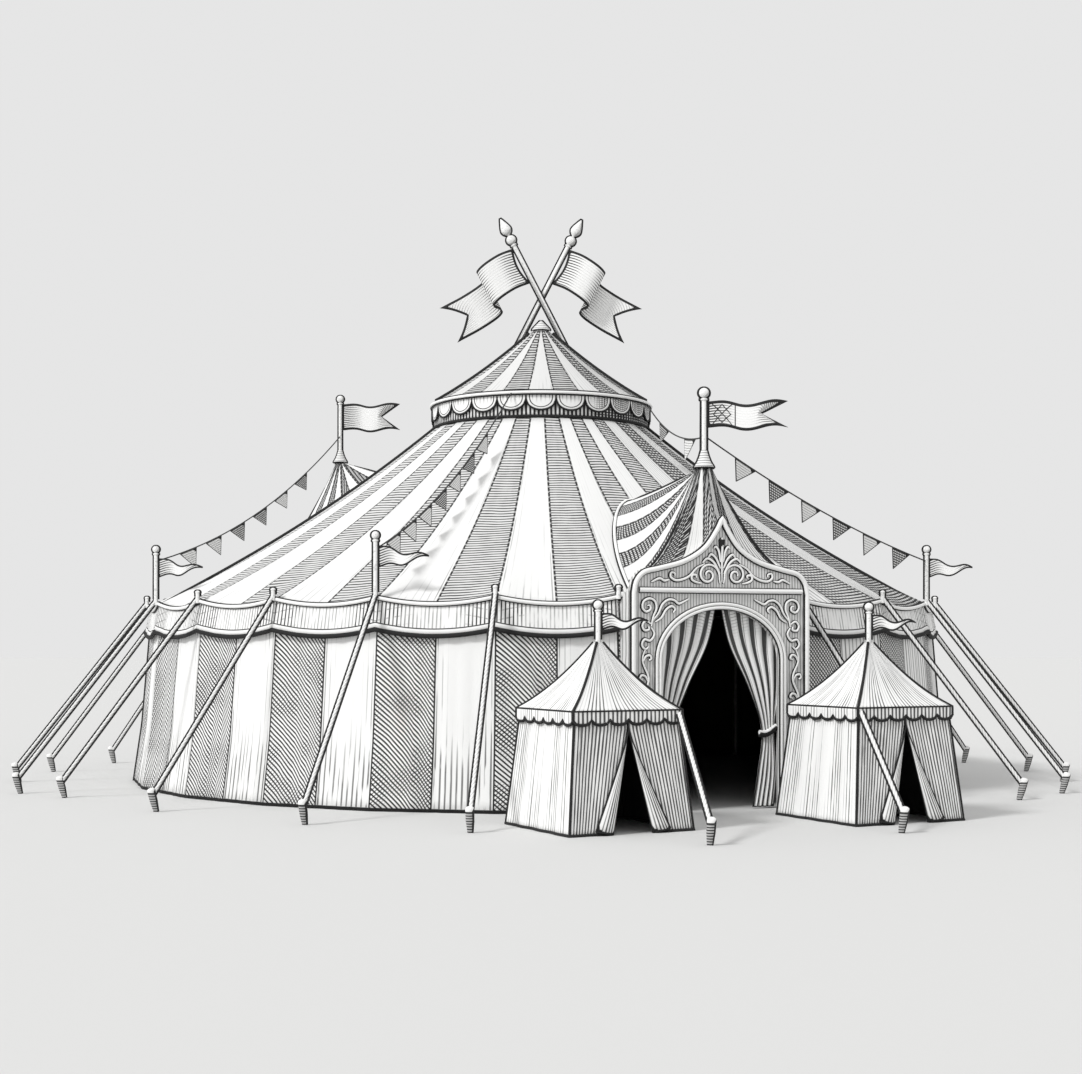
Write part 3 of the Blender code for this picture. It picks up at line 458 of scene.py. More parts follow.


# %% [markdown]
# ## Cords and pipings
# Bolt ropes, pipings and guys all follow a path. One Geometry Nodes tree makes them: it sweeps a
# ring along a line of points. With lobes and a twist, the ring becomes a laid rope, and the tree
# notes how deep each point lies in a groove, so that the finish can ink the grooves as painted shade.

# %% A tree of nodes, and the one that sweeps a ring along a path
def new_tree(name, sockets):
    """A Geometry Nodes tree: its inputs, a function that adds a node, and one that ends the tree."""
    tree = bpy.data.node_groups.new(name, "GeometryNodeTree")
    tree.interface.new_socket("Geometry", in_out="INPUT", socket_type="NodeSocketGeometry")
    keys = {}
    for socket, kind in sockets.items():
        made = tree.interface.new_socket(socket, in_out="INPUT", socket_type="NodeSocket" + kind)
        keys[socket] = made.identifier
    tree.interface.new_socket("Geometry", in_out="OUTPUT", socket_type="NodeSocketGeometry")
    given = tree.nodes.new("NodeGroupInput").outputs

    def node(kind, values, output=0, **settings):
        made = tree.nodes.new(kind)
        for key, setting in settings.items():
            setattr(made, key, setting)
        for key, value in values.items():
            if isinstance(value, bpy.types.NodeSocket):
                tree.links.new(value, made.inputs[key])
            else:
                made.inputs[key].default_value = value
        return made.outputs[output] if made.outputs else made

    def end(geometry):
        real = node("GeometryNodeRealizeInstances", {0: geometry})
        done = node("GeometryNodeSetMaterial", {"Geometry": real, "Material": given["Material"]})
        node("NodeGroupOutput", {0: done})
        return tree, keys

    return given, node, end


def sweep_tree():
    sockets = {"Radius": "Float", "Sides": "Int", "Lobes": "Float", "Depth": "Float", "Twist": "Float"}
    given, node, end = new_tree("cord along a path", {**sockets, "Material": "Material"})

    def maths(operation, *values):
        return node("ShaderNodeMath", dict(enumerate(values)), operation=operation)

    path = node("GeometryNodeMeshToCurve", {"Mesh": given["Geometry"]})
    length = node("GeometryNodeSplineParameter", {}, "Length")
    turn = maths("MULTIPLY", length, given["Twist"])
    path = node("GeometryNodeSetCurveTilt", {"Curve": path, "Tilt": turn})
    ring = node("GeometryNodeCurvePrimitiveCircle", {"Resolution": given["Sides"], "Radius": given["Radius"]})
    lobe = maths("MULTIPLY", node("GeometryNodeSplineParameter", {}, "Factor"), given["Lobes"])
    wave = maths("COSINE", maths("MULTIPLY", lobe, 2 * pi))
    groove = maths("MULTIPLY_ADD", wave, -0.5, 0.5)
    scale = maths("SUBTRACT", 1.0, maths("MULTIPLY", groove, given["Depth"]))
    place = node("GeometryNodeInputPosition", {})
    moved = node("ShaderNodeVectorMath", {0: place, "Scale": scale}, operation="SCALE")
    ring = node("GeometryNodeSetPosition", {"Geometry": ring, "Position": moved})
    ring = node("GeometryNodeStoreNamedAttribute", {"Geometry": ring, "Name": "groove", "Value": groove})
    thick = node("GeometryNodeInputNamedAttribute", {"Name": "thick"})
    whole = {"Curve": path, "Profile Curve": ring, "Scale": thick, "Fill Caps": True}
    return end(node("GeometryNodeCurveToMesh", whole))


sweep, sweep_keys = sweep_tree()
print("sweep tree:", len(sweep.nodes), "nodes")


# %% Pipings and ropes from that tree
def baked(helper, name, tree, keys, values):
    """The helper as a tree changes it, as a plain mesh object. The helper is removed."""
    change = helper.modifiers.new("tree", "NODES")
    change.node_group = tree
    for key, value in values.items():
        change[keys[key]] = value
    bpy.context.view_layer.update()
    graph = bpy.context.evaluated_depsgraph_get()
    mesh = bpy.data.meshes.new_from_object(helper.evaluated_get(graph))
    bpy.data.objects.remove(helper)
    mesh.name = name
    return link(name, mesh)


def swept_piece(name, paths, finish, nodes=(), radius=0.03, sides=8, lay=(0.0, 0.0, 0.0), thick=None):
    """A round piece along each path, laid with lobes, depth and twist. A path may run all the way round."""
    points, edges, scales = [], [], []
    for number, path in enumerate(paths):
        start = len(points)
        around = (path[0] - path[-1]).length < 1e-6
        kept = path[:-1] if around else path
        points += kept
        scales += thick[number] if thick else [1.0] * len(kept)
        edges += [(start + step, start + step + 1) for step in range(len(kept) - 1)]
        if around:
            edges.append((start + len(kept) - 1, start))
    helper = link(name + "_path", meshed(name + "_path", points, edges, []))
    note(helper, "thick", scales)
    values = dict(zip(sweep_keys, (radius, sides, *lay, finish)))
    piece = baked(helper, name, sweep, sweep_keys, values)
    piece.data.polygons.foreach_set("use_smooth", [True] * len(piece.data.polygons))
    note_light(piece)
    return seat(piece, nodes)


def closed(path):
    return [*path, path[0]]


# %% [markdown]
# ## The bunting lines
# Four lines of pennants hang between pegs, masts and the crown. A line held at its ends sags, so
# each cord is one smooth dip of its real length, and its pennants are a separate cloth under it.

# %% The four lines, end to end
MAST_CIRCLE = 8.80
PORCH_MAST = portal_point(0, MAST_CIRCLE * cos(radians(PORTAL_HALF_ANGLE)), 0)
REAR_AZIMUTH = REAR_POST - 360
REAR_MAST = polar(MAST_CIRCLE, REAR_AZIMUTH, 0)
PEG_CIRCLE = 9.10
PEG_KNOT = 4.9
PORCH_KNOT = 7.05
REAR_KNOT = 8.85
CORD_THICK = 0.03
CORD_DROP = 0.016
CORD_POINTS = 28
PENNANT_HEAD = 0.03
PENNANT_DROP = 0.48
PENNANT_LEAN = 0.92
PENNANT_CUT = 1.08
PENNANT_STEPS = 4
PENNANT_ROWS = 6
west_peg, front_peg, east_peg = [polar(PEG_CIRCLE, azimuth, PEG_KNOT) for azimuth in FLAG_POSTS]
porch_knot = PORCH_MAST + up * PORCH_KNOT
rear_knot = REAR_MAST + up * REAR_KNOT
crown_west = polar(CUPOLA_RIM_RADIUS, -14.6, 8.69)
crown_east = polar(CUPOLA_RIM_RADIUS, 72, 8.66)
LINES = {
    "rear": (west_peg, rear_knot, 0.50, (0.10, 0.78), 0.85, (0.042, 0.047), "LLDDLD"),
    "front": (front_peg, crown_west, 0.40, (0.06, 0.80), 0.62, (0.042, 0.012), "LLLDLDL"),
    "crown": (crown_east, porch_knot, 0.30, (0.25, 0.88), 1.3, (0.012, 0.047), "DL"),
    "east": (porch_knot, east_peg, 0.18, (0.12, 0.92), 0.58, (0.047, 0.042), "LDLDLD"),
}


def bunting_line(start, end, sag, share):
    spot = mix(start, end, share)
    spot.z -= 4 * sag * share * (1 - share)
    return spot


# %% Ink cord, and pennants in two tones
def cord_finish():
    paint = Paint("tarred_cord")
    noise = paint.noise(60.0)
    return paint.finish(0.93 + noise * 0.05, 0.84, 0.9, noise, 0.002)


def pennant_finish():
    """Light pennants with a few level lines, dark ones crossed both ways, and a black hem on each."""
    paint = Paint("bunting_cloth")
    across, climb = paint.cloth()
    dark = paint.attribute("dark")
    wobble = paint.noise(2.0) * 0.02
    level = lines((climb + wobble) / 0.055, 0.16 + dark * 0.3)
    crossed = lines((across + wobble) / 0.055, 0.36) * dark
    hem = paint.attribute("edge").fall(0.016, 0.024)
    return paint.finish(either(level, crossed, hem), 0.82, 0.9, 90.0)


black_cord = cord_finish()
bunting_cloth = pennant_finish()

# %% The cords themselves
def bunting_cord(word, start, end, sag, clear):
    """One cord from start to end, this clear of both, with the two points between which it hangs."""
    run = Vector((end.x - start.x, end.y - start.y, 0)).normalized()
    first = start + run * clear[0]
    last = end - run * clear[1]
    shares = spread(0, 1, CORD_POINTS)
    path = [bunting_line(first, last, sag, share) - up * CORD_DROP for share in shares]
    curve = bpy.data.curves.new("bunting_cord_" + word, "CURVE")
    curve.dimensions = "3D"
    curve.bevel_depth = CORD_THICK / 2
    curve.bevel_resolution = 2
    curve.use_fill_caps = True
    spline = curve.splines.new("POLY")
    spline.points.add(CORD_POINTS)
    for place, spot in zip(spline.points, path):
        place.co = (*spot, 1)
    cord = link("bunting_cord_" + word, curve)
    dress(cord, black_cord, "rope", "bunting_" + word)
    length = sum((after - before).length for before, after in zip(path, path[1:]))
    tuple(path[0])
    print("cord", word, round(length, 2), "m")
    return first, last, cord


cords = {}
for word, (start, end, sag, span, width, clear, tones) in LINES.items():
    cords[word] = bunting_cord(word, start, end, sag, clear)


# %% The pennants, one cloth to a line
def bunting_pennants(word, start, end, sag, span, width, tones):
    """The pennants along a share of one cord: each is light or dark, and hangs from its own bit of it."""
    first, last, cord = cords[word]
    count = len(tones)
    half = width / hypot(end.x - start.x, end.y - start.y) / 2
    points, faces, measures, darks, edges = [], [], [], [], []
    for number, tone in enumerate(tones):
        middle = mix(span[0] + half, span[1] - half, number / (count - 1))
        tip_share = middle + (half if end.z > start.z else -half) * PENNANT_LEAN
        shares = spread(middle - half, middle + half, PENNANT_STEPS)
        top = [bunting_line(first, last, sag, share) - up * PENNANT_HEAD for share in shares]
        tip = bunting_line(first, last, sag, tip_share) - up * PENNANT_DROP
        base = len(points)
        for share in spread(0, 0.98, PENNANT_ROWS):
            for step, spot in enumerate(top):
                points.append(mix(spot, tip, share))
                measures.append((step / PENNANT_STEPS * width * (1 - share), PENNANT_DROP * (1 - share)))
                side = min(step, PENNANT_STEPS - step) / PENNANT_STEPS * width * (1 - share) * 0.8
                edges.append(min(side, share * PENNANT_DROP + 0.004))
                darks.append(1.0 if tone == "D" else 0.0)
        for row in range(PENNANT_ROWS):
            for step in range(PENNANT_STEPS):
                this = base + row * (PENNANT_STEPS + 1) + step
                below = this + PENNANT_STEPS + 1
                faces.append((this, below, below + 1, this + 1))
    mesh = meshed("bunting_pennants_" + word, points, [], faces)
    for loop, corner in zip(mesh.loops, mesh.uv_layers.new(name="cloth").data):
        corner.uv = measures[loop.vertex_index]
    pennants = link("bunting_pennants_" + word, mesh)
    note(pennants, "dark", darks)
    note(pennants, "edge", edges)
    thicken(pennants, FLAG_THICK)
    dress(pennants, bunting_cloth, "bunting_cloth", "bunting_" + word)
    wide = round(count * width * PENNANT_CUT, 3)


for word, (start, end, sag, span, width, clear, tones) in LINES.items():
    bunting_pennants(word, start, end, sag, span, width, tones)

# %% [markdown]
# ## The striped canvas
# Walls and roofs are sewn from light and dark strips. On the real cloth the dark strips are dyed;
# here they are hatched, as the engraver does it: slanting lines on the walls, level ones on the
# roof, and thin upright lines where the light cloth gathers at its foot. Where the cloth turns from
# a fixed light, painted shade adds crossed lines on the dark strips and more fine ones on the light.

# %% The finishes of walls, linings and roofs
def stripes(paint):
    """Stripes across, metres up, width of a stripe, and the share of the way across one stripe."""
    across, climb = paint.cloth()
    return across, climb, paint.attribute("wide"), across.fraction()


def every_second(across):
    return ((across / 2).fraction() * 2).floor()


def stripe_seam(inside, wide, half_width):
    """A seam line at each edge of a stripe, this many metres to either side."""
    return (edge_share(inside) * wide / half_width).fall(0.7, 1.3)


def wall_finish():
    paint = Paint("wall_canvas")
    across, climb, wide, inside = stripes(paint)
    dark = 1.0 - every_second(across)
    metres = inside * wide
    wobble = paint.noise(0.8) * 0.12
    shade = paint.shade(-0.1, 0.4)
    slant = lines((climb + metres * 0.75 + metres * metres * 0.25 + wobble) / 0.092, 0.44)
    counter = lines((climb - metres * 0.9 + wobble) / 0.08, 0.28)
    patchy = paint.stretched_noise(0.9, across, climb).ramp(0.40, 0.62)
    hatch = either(slant, counter * (patchy + shade).held())
    ends = climb.fall(0.5, 1.9) + climb.ramp(3.1, 3.6)
    streak = paint.stretched_noise(7.0, across * 2.0, climb * 0.16).ramp(0.38, 0.56)
    where = (streak * (ends + edge_share(inside).fall(0.02, 0.3)) + shade * 0.8).held()
    fine = lines(across * 11 + wobble, 0.14 + ends * 0.2 + shade * 0.15) * where
    seam = stripe_seam(inside, wide, 0.016)
    ink = either(hatch * dark, fine * (1.0 - dark) * 0.8, seam, climb.fall(0.06, 0.075))
    return paint.finish(ink, 0.84, 0.82 + streak * 0.08, 55.0, 0.004)


# A dark lining, as real big tops have, dark enough to stand as painted shade inside the tent.
def shade_lining_finish():
    paint = Paint("dark_lining")
    return paint.finish(0.93 + paint.noise(3.0) * 0.05, 0.5, 0.95, 60.0)


def roof_finish(name, level_step, level_ink, fine_count, seam_half, paper, crossed=0.0):
    """Light and hatched stripes that run up a roof; crossed adds lines the other way, as does shade."""
    paint = Paint(name)
    across, climb, wide, inside = stripes(paint)
    dark = every_second(across)
    wobble = paint.noise(0.7) * 0.22
    swell = paint.stretched_noise(2.0, across * 1.5, climb * 0.8) * 0.35
    shade = paint.shade(0.32, 0.80)
    level = lines((climb + wobble + inside * 0.02) / level_step, level_ink - 0.15 + swell + shade * 0.2)
    cross = lines(inside * wide / level_step + wobble * 0.4, 0.44 * (shade + crossed).held())
    cross = cross * (shade + crossed).ramp(0.15, 0.5)
    streak = paint.stretched_noise(5.0, across * 2.0, climb * 0.12).ramp(0.44, 0.6)
    where = (climb.fall(0.2, 1.3) * 0.6 + edge_share(inside).fall(0.04, 0.3) * 0.8 + shade).held()
    fine = lines(across * fine_count, 0.16 + shade * 0.1) * either(streak, shade) * where
    dash = lines(climb / 0.22, 0.7)
    seam = stripe_seam(inside, wide, seam_half) * (0.55 + dash * 0.45)
    ink = either(level * dark, cross * dark, fine * (1.0 - dark) * (0.6 + shade * 0.4), seam, dark * 0.16)
    return paint.finish(ink, paper, 0.8 + streak * 0.08, 50.0, 0.004)


# The inner side's dark finish is painted shade.
shade_lining = shade_lining_finish()
wall_canvas = wall_finish()
roof_canvas = roof_finish("roof_canvas", 0.105, 0.36, 8, 0.021, 0.80)


def lined_canvas(name, rows, turns, finish, node, closed=False):
    """Canvas with a dark lining as painted shade inside the tent, standing for one CAD node."""
    piece = dress(woven(name, rows, turns, closed), finish, "striped_canvas", node)
    thicken(piece, CLOTH_THICK, shade_lining)
    return piece


# %% The main roof, from the crown down to its straight eaves
ROOF_COLUMNS = 8
ROOF_ROWS = 30
PORCH_STEPS = 12
SKIN = 0.001


def main_roof():
    """One cloth with two stripes to a bay, and four over the portal."""
    places = [step / ROOF_COLUMNS for step in range(BAYS * ROOF_COLUMNS)]
    azimuths = [bay_azimuth(place) for place in places]
    turns = [place * 2 for place in places]
    for step in range(PORCH_STEPS):
        azimuths.append(posts[-1] + 2 * PORTAL_HALF_ANGLE * step / PORCH_STEPS)
        turns.append(2 * BAYS + 4 * step / PORCH_STEPS)
    turns.append(2 * BAYS + 4)
    rows = [[roof_point(share, azimuth, SKIN) for azimuth in azimuths] for share in spread(0, 1, ROOF_ROWS)]
    roof = lined_canvas("main_roof_canvas", rows, turns, roof_canvas, "main_roof", closed=True)


main_roof()

# %% The cupola over the crown
CUPOLA_STRIPES = 28
CUPOLA_COLUMNS = CUPOLA_STRIPES * 4
CUPOLA_ROWS = 14
CUPOLA_TOP_RADIUS = 0.16
CUPOLA_TOP = 10.52
CUPOLA_RIM = 8.70
CUPOLA_SAG = 0.10


def cupola_point(share, azimuth, lift=0.0):
    out = mix(CUPOLA_TOP_RADIUS, CUPOLA_RIM_RADIUS, share)
    return polar(out, azimuth, sagging(CUPOLA_TOP, CUPOLA_RIM, CUPOLA_SAG, share) + lift)


def cupola_roof():
    """A concave cone in narrow stripes."""
    rows = [
        [cupola_point(share, 360 * (side - 2) / CUPOLA_COLUMNS, SKIN) for side in range(CUPOLA_COLUMNS)]
        for share in spread(0, 1, CUPOLA_ROWS)
    ]
    turns = [side / 4 for side in range(CUPOLA_COLUMNS + 1)]
    finish = roof_finish("cupola_canvas", 0.115, 0.42, 6, 0.017, 0.68)
    cupola = lined_canvas("cupola_canvas", rows, turns, finish, "cupola_roof", closed=True)


cupola_roof()

# %% The walls, flared at their foot and a little slack between posts
WALL_BAYS = [4, 4, 3, 3, 4, 4]
WALL_COLUMNS = 24
WALL_ROWS = 16
WALL_FOOT_RADIUS = 9.4
WALL_KNEE = 1.3
WALL_KNEE_RADIUS = 9.21
WALL_TOP_RADIUS = 8.985
WALL_CLEAR = 0.012
UNDER_EAVE = 0.0303


def wall_radius(height):
    if height < WALL_KNEE:
        return mix(WALL_FOOT_RADIUS, WALL_KNEE_RADIUS, height / WALL_KNEE)
    return mix(WALL_KNEE_RADIUS, WALL_TOP_RADIUS, (height - WALL_KNEE) / (EAVE_HEIGHT - WALL_KNEE))


def wall_point(azimuth, share):
    """A point of the wall: share is 0 at the eave and 1 on the ground."""
    top = EAVE_HEIGHT - UNDER_EAVE - EAVE_SWAG * swag(azimuth)
    height = top * (1 - share)
    bay, along = bay_place(azimuth)
    fold = 0.012 * sin(along * 2 * pi * 7) + 0.008 * sin(along * 2 * pi * 3 + bay)
    slack = min(1.0, 3 * share) * sin(pi * along) ** 0.5
    out = wall_radius(height) - WALL_CLEAR + fold * slack
    return polar(out * straight(azimuth), azimuth, height)


def bay_lengths(columns):
    """The places along each length of wall, this many to a bay."""
    start = 0
    lengths = []
    for bays in WALL_BAYS:
        lengths.append([start + step / columns for step in range(bays * columns + 1)])
        start += bays
    return lengths


def portal_end(row, side):
    """The wall's end at the portal's side, in line with the first or last point of its row."""
    edge = row[0] if side == 1 else row[-1]
    out = hypot(edge.x, edge.y) * cos(radians(PORTAL_HALF_ANGLE))
    return portal_point(side * (PORTAL_HALF_WIDTH + 0.004), out, edge.z)


def walls():
    """Six lengths of striped wall, the first and last one ending at the portal."""
    for number, places in enumerate(bay_lengths(WALL_COLUMNS), 1):
        azimuths = [bay_azimuth(place) for place in places]
        rows = [[wall_point(azimuth, share) for azimuth in azimuths] for share in spread(0, 1, WALL_ROWS)]
        turns = [place * 2 for place in places]
        if number == 1:
            rows = [[portal_end(row, 1), *row] for row in rows]
            turns = [turns[0] - 0.05, *turns]
        if number == len(WALL_BAYS):
            rows = [[*row, portal_end(row, -1)] for row in rows]
            turns = [*turns, turns[-1] + 0.05]
        wall = lined_canvas(f"wall_canvas_{number}", rows, turns, wall_canvas, f"wall_{number}")


walls()
print("walls:", len(WALL_BAYS))

# %% [markdown]
# ## Trims
# A drawn tent has a black line on each side of every white rope and roll. On a solid, that is a
# dark bolt rope under a lighter one, a little thicker, so that it shows along both edges.

# %% Finishes of ropes, rolls and lines
def roll_finish(name, ink, paper, rough):
    paint = Paint(name)
    grain = paint.noise(60.0)
    return paint.finish(ink + grain * 0.06, paper, rough, grain, 0.002)


def laid_rope_finish():
    """Pale rope with painted shade: ink in its grooves and on its side turned from the light."""
    paint = Paint("laid_rope")
    ink = either(paint.attribute("groove").ramp(0.6, 0.95) * 0.35, paint.shade(-0.12, 0.08) * 0.4)
    return paint.finish(ink, 0.86, 0.9, 80.0, 0.002)


ink_line = roll_finish("ink_line", 0.98, 0.4, 0.9)
pale_roll = roll_finish("pale_roll", 0.0, 0.9, 0.8)
laid_rope = laid_rope_finish()


# %% A pale roll with a dark line on each side, and plain dark lines
def ink_piece(name, paths, radius, nodes=(), sides=6, thick=None):
    """A dark line along each path."""
    return swept_piece(name, paths, ink_line, nodes, radius, sides, thick=thick)


def rolled_trim(name, paths, under, nodes=(), radius=0.034, line=0.018):
    """A pale roll along each path, and its dark under rope, moved the way that under says for a point."""
    roll = swept_piece(name, paths, pale_roll, nodes, radius)
    lower = [[point + under(point) * radius * 0.9 for point in path] for path in paths]
    return [roll, ink_piece(name + "_line", lower, radius + line, nodes, 8)]


def downwards(point):
    return -up


def inwards(point):
    return Vector((-point.x, -point.y, 0)).normalized()


# %% [markdown]
# ## Outlines
# An engraver closes a round form with a firm line where it turns out of sight. Here such a line is a
# dark seam, set where the form turns away from the front. From other sides it is a plain seam.

# %% Dark lines where roofs, ropes and turned pieces end for the eye
def turning_azimuth(surface, share):
    """The azimuth where a round roof turns away from the front, at one share of its way down."""
    above, below = surface(share - 0.01, 0), surface(share + 0.01, 0)
    slope = (hypot(below.x, below.y) - hypot(above.x, above.y)) / (above.z - below.z)
    middle = (above + below) / 2
    return degrees(acos((hypot(middle.x, middle.y) + slope * (middle.z - EYE.z)) / -EYE.y))


def edge_lines(name, surface, low, high, node):
    """A dark seam down each side of a round roof, a little above its cloth."""
    runs = [
        [surface(share, side * turning_azimuth(surface, share), 0.03) for share in spread(low, high, 40)]
        for side, word in SIDES
    ]
    ink_piece(name, runs, 0.042, [node], sides=8)


def sideways(run):
    """The way across a straight rope or pole, as it is seen from the front."""
    return run.cross(Vector((0, 1, 0))).normalized()


def side_lines(name, runs, apart, radius, nodes):
    """A dark line along both sides of each straight rope."""
    beside = []
    for run in runs:
        across = sideways(run[-1] - run[0])
        beside += [[point + across * side * apart for point in (run[0], run[-1])] for side, word in SIDES]
    ink_piece(name, beside, radius, nodes, 8)


def profile_edge(foot, profile, run=up):
    """A path up one edge of a turned piece, over its top and down its other edge."""
    right, left = [
        [foot + run * height + sideways(run) * side * (radius + 0.008) for radius, height in profile]
        for side in (1, -1)
    ]
    return [*right, *reversed(left)]


# %% [markdown]
# ## The eave
# A swagged strip hangs outside the roof's edge and hides the wall's head. It gathers at each post,
# so that is where the engraver's lines stand close together, and it ends in a plain hem.

# %% The eave strip's finish
def eave_strip_finish():
    paint = Paint("eave_strip")
    across, climb = paint.cloth()
    share = (across / 2).fraction()
    near_post = edge_share(share).fall(0.1, 0.36)
    streak = paint.stretched_noise(6.0, across * 2.0, climb * 0.3).ramp(0.34, 0.6)
    upright = lines(across * 15 + paint.noise(0.9) * 0.2, 0.34) * (near_post * 0.9 + streak * 0.55).held()
    above_hem = climb.ramp(0.10, 0.12)
    hem = (climb - 0.105).size().fall(0.008, 0.014)
    fold = climb + (share - 0.5) * (share - 0.5) * 1.1
    festoon = lines(fold / 0.17 + paint.noise(0.8) * 0.2, 0.10) * near_post * streak
    return paint.finish(either(upright * above_hem, hem, festoon * above_hem * 0.8), 0.86, 0.82, 55.0, 0.004)


eave_strip = eave_strip_finish()

# %% The eave strip and its trims, in the same lengths as the walls
VALANCE_TOP = 4.0
VALANCE_DROP = 0.60
VALANCE_FLARE = 0.12
VALANCE_CLEAR = 0.013
VALANCE_RIPPLE = 0.012
RIPPLES = 5
STRIP_COLUMNS = 16
STRIP_ROWS = 8


def strip_point(azimuth, share, stand_off=0.0):
    out = (EAVE_RADIUS + VALANCE_CLEAR + VALANCE_FLARE * share + stand_off) * straight(azimuth)
    ripple = VALANCE_RIPPLE * sin(bay_place(azimuth)[1] * 2 * pi * RIPPLES) * share
    return polar(out + ripple, azimuth, VALANCE_TOP - VALANCE_DROP * share - EAVE_SWAG * swag(azimuth))


def eave_strips():
    """The strip, a dark line under its hem as painted shadow, and the rope round its head, which is part of
    the guys' CAD nodes.
    """
    trim_paths = []
    for number, places in enumerate(bay_lengths(STRIP_COLUMNS), 1):
        azimuths = [bay_azimuth(place) for place in places]
        rows = [[strip_point(azimuth, share) for azimuth in azimuths] for share in spread(0, 1, STRIP_ROWS)]
        turns = [place * 2 for place in places]
        strip = lined_canvas(f"eave_strip_{number}", rows, turns, eave_strip, "eave_valance")
        trim_paths.append([strip_point(azimuth, 0.05, 0.048) for azimuth in azimuths])
        # Painted shadow: a dark line just under the strip's hem.
        hem_shadow_path = [strip_point(azimuth, 1.0, 0.004) - up * 0.028 for azimuth in azimuths]
        foot = ink_piece(f"eave_strip_foot_{number}", [hem_shadow_path], 0.044, sides=8)
    rolled_trim("eave_rope", trim_paths, inwards, guy_nodes, radius=0.036)
    print("eave strip:", len(trim_paths), "lengths")


guy_nodes = [f"guys_{number}" for number in range(1, 7)]
eave_strips()

# %% [markdown]
# ## The crown
# Under the cupola stands a short canvas drum, and before it hangs a row of half-round scallops.
# Each scallop is bound with a dark edge, made bold to stand also as painted shadow on the drum,
# and has a second line inside it.

# %% Finishes of the drum and the scallops
def drum_finish():
    paint = Paint("drum_canvas")
    across, climb = paint.cloth()
    streak = paint.stretched_noise(5.0, across * 2.0, climb * 0.5) * 0.5
    # Painted shade: thicker upright lines and level lines on the side turned from the light; dark ink over
    # the upper part is painted shadow of the scallops.
    shade = paint.shade(-0.3, 0.45)
    upright = lines(across * 6 + paint.noise(1.2) * 0.1, 0.28 + streak + shade * 0.2)
    level = lines(climb / 0.06, 0.42) * shade.ramp(0.25, 0.5)
    return paint.finish(either(upright, level, climb.ramp(0.16, 0.30) * 0.8), 0.72, 0.85, 55.0)


def scallop_finish():
    paint = Paint("scallop_canvas")
    across, climb = paint.cloth()
    edge = paint.attribute("edge")
    streak = paint.stretched_noise(7.0, across * 3.0, climb * 0.4).ramp(0.4, 0.6)
    upright = lines(across * 7, 0.3) * climb.ramp(0.12, 0.34) * (0.4 + streak * 0.6)
    shaded = paint.shade(-0.25, 0.35).ramp(0.2, 0.5)
    inner = either(upright, lines(climb / 0.045, 0.34) * shaded, lines(across * 10, 0.34) * shaded)
    second_line = (edge - 0.065).size().fall(0.007, 0.012)
    ink = either(second_line, inner * edge.ramp(0.07, 0.09), edge.fall(0.012, 0.018))
    return paint.finish(ink, 0.87, 0.82, 60.0)


# %% The drum and its scallops
DRUM_RADIUS = 2.515
DRUM_SIDES = 112
DRUM_HEAD = 8.70
DRUM_FOOT = 8.16
DRUM_ROWS = 6
SCALLOPS = 24
SCALLOP_STEPS = 14
SCALLOP_RADIUS = 2.5575
SCALLOP_HEAD = 8.675
SCALLOP_JOINT = 8.56
SCALLOP_DROP = 0.26
SCALLOP_ROWS = 8
scallop_half = pi * SCALLOP_RADIUS / SCALLOPS


def ring(radius, height, steps=140):
    return closed([polar(radius, 360 * step / steps, height) for step in range(steps)])


def scallop_edge(side, height):
    """How far a point of a scallop lies from its round edge, or above that from its sides."""
    along = abs(side % SCALLOP_STEPS / SCALLOP_STEPS * 2 - 1)
    if height < SCALLOP_JOINT:
        return max(0.0, 1 - hypot(along, (height - SCALLOP_JOINT) / SCALLOP_DROP)) * SCALLOP_DROP
    return (1 - along) * scallop_half * 0.8


def crown_drum():
    """The short canvas band under the cupola."""
    rows = [ring(DRUM_RADIUS, height, DRUM_SIDES)[:-1] for height in spread(DRUM_HEAD, DRUM_FOOT, DRUM_ROWS)]
    turns = [side / 4 for side in range(DRUM_SIDES + 1)]
    drum = lined_canvas("drum_canvas", rows, turns, drum_finish(), "crown_drum", closed=True)


def crown_scallops():
    """A row of half-round scallops as one cloth, bound along its edge."""
    rows = []
    for row in range(SCALLOP_ROWS + 1):
        points = []
        for side in range(SCALLOPS * SCALLOP_STEPS):
            share = side % SCALLOP_STEPS / SCALLOP_STEPS
            depth = SCALLOP_DROP * sqrt(max(0.0, 1 - (2 * share - 1) ** 2))
            azimuth = 360 / SCALLOPS * (side / SCALLOP_STEPS - 0.5)
            height = mix(SCALLOP_HEAD, SCALLOP_JOINT - depth, row / SCALLOP_ROWS)
            points.append(polar(SCALLOP_RADIUS, azimuth, height))
        rows.append(points)
    turns = [side / SCALLOP_STEPS for side in range(SCALLOPS * SCALLOP_STEPS + 1)]
    scallops = woven("crown_scallops", rows, turns, closed=True)
    note(scallops, "edge", [scallop_edge(side, point.z) for row in rows for side, point in enumerate(row)])
    dress(scallops, scallop_finish(), "striped_canvas", "crown_valance")
    thicken(scallops)
    # The dark binding along the scallops' edge is also painted shadow on the drum.
    edge_path = [point + inwards(point) * -0.004 for point in rows[-1]]
    binding = ink_piece("scallop_binding", [closed(edge_path)], 0.023)


crown_drum()
crown_scallops()

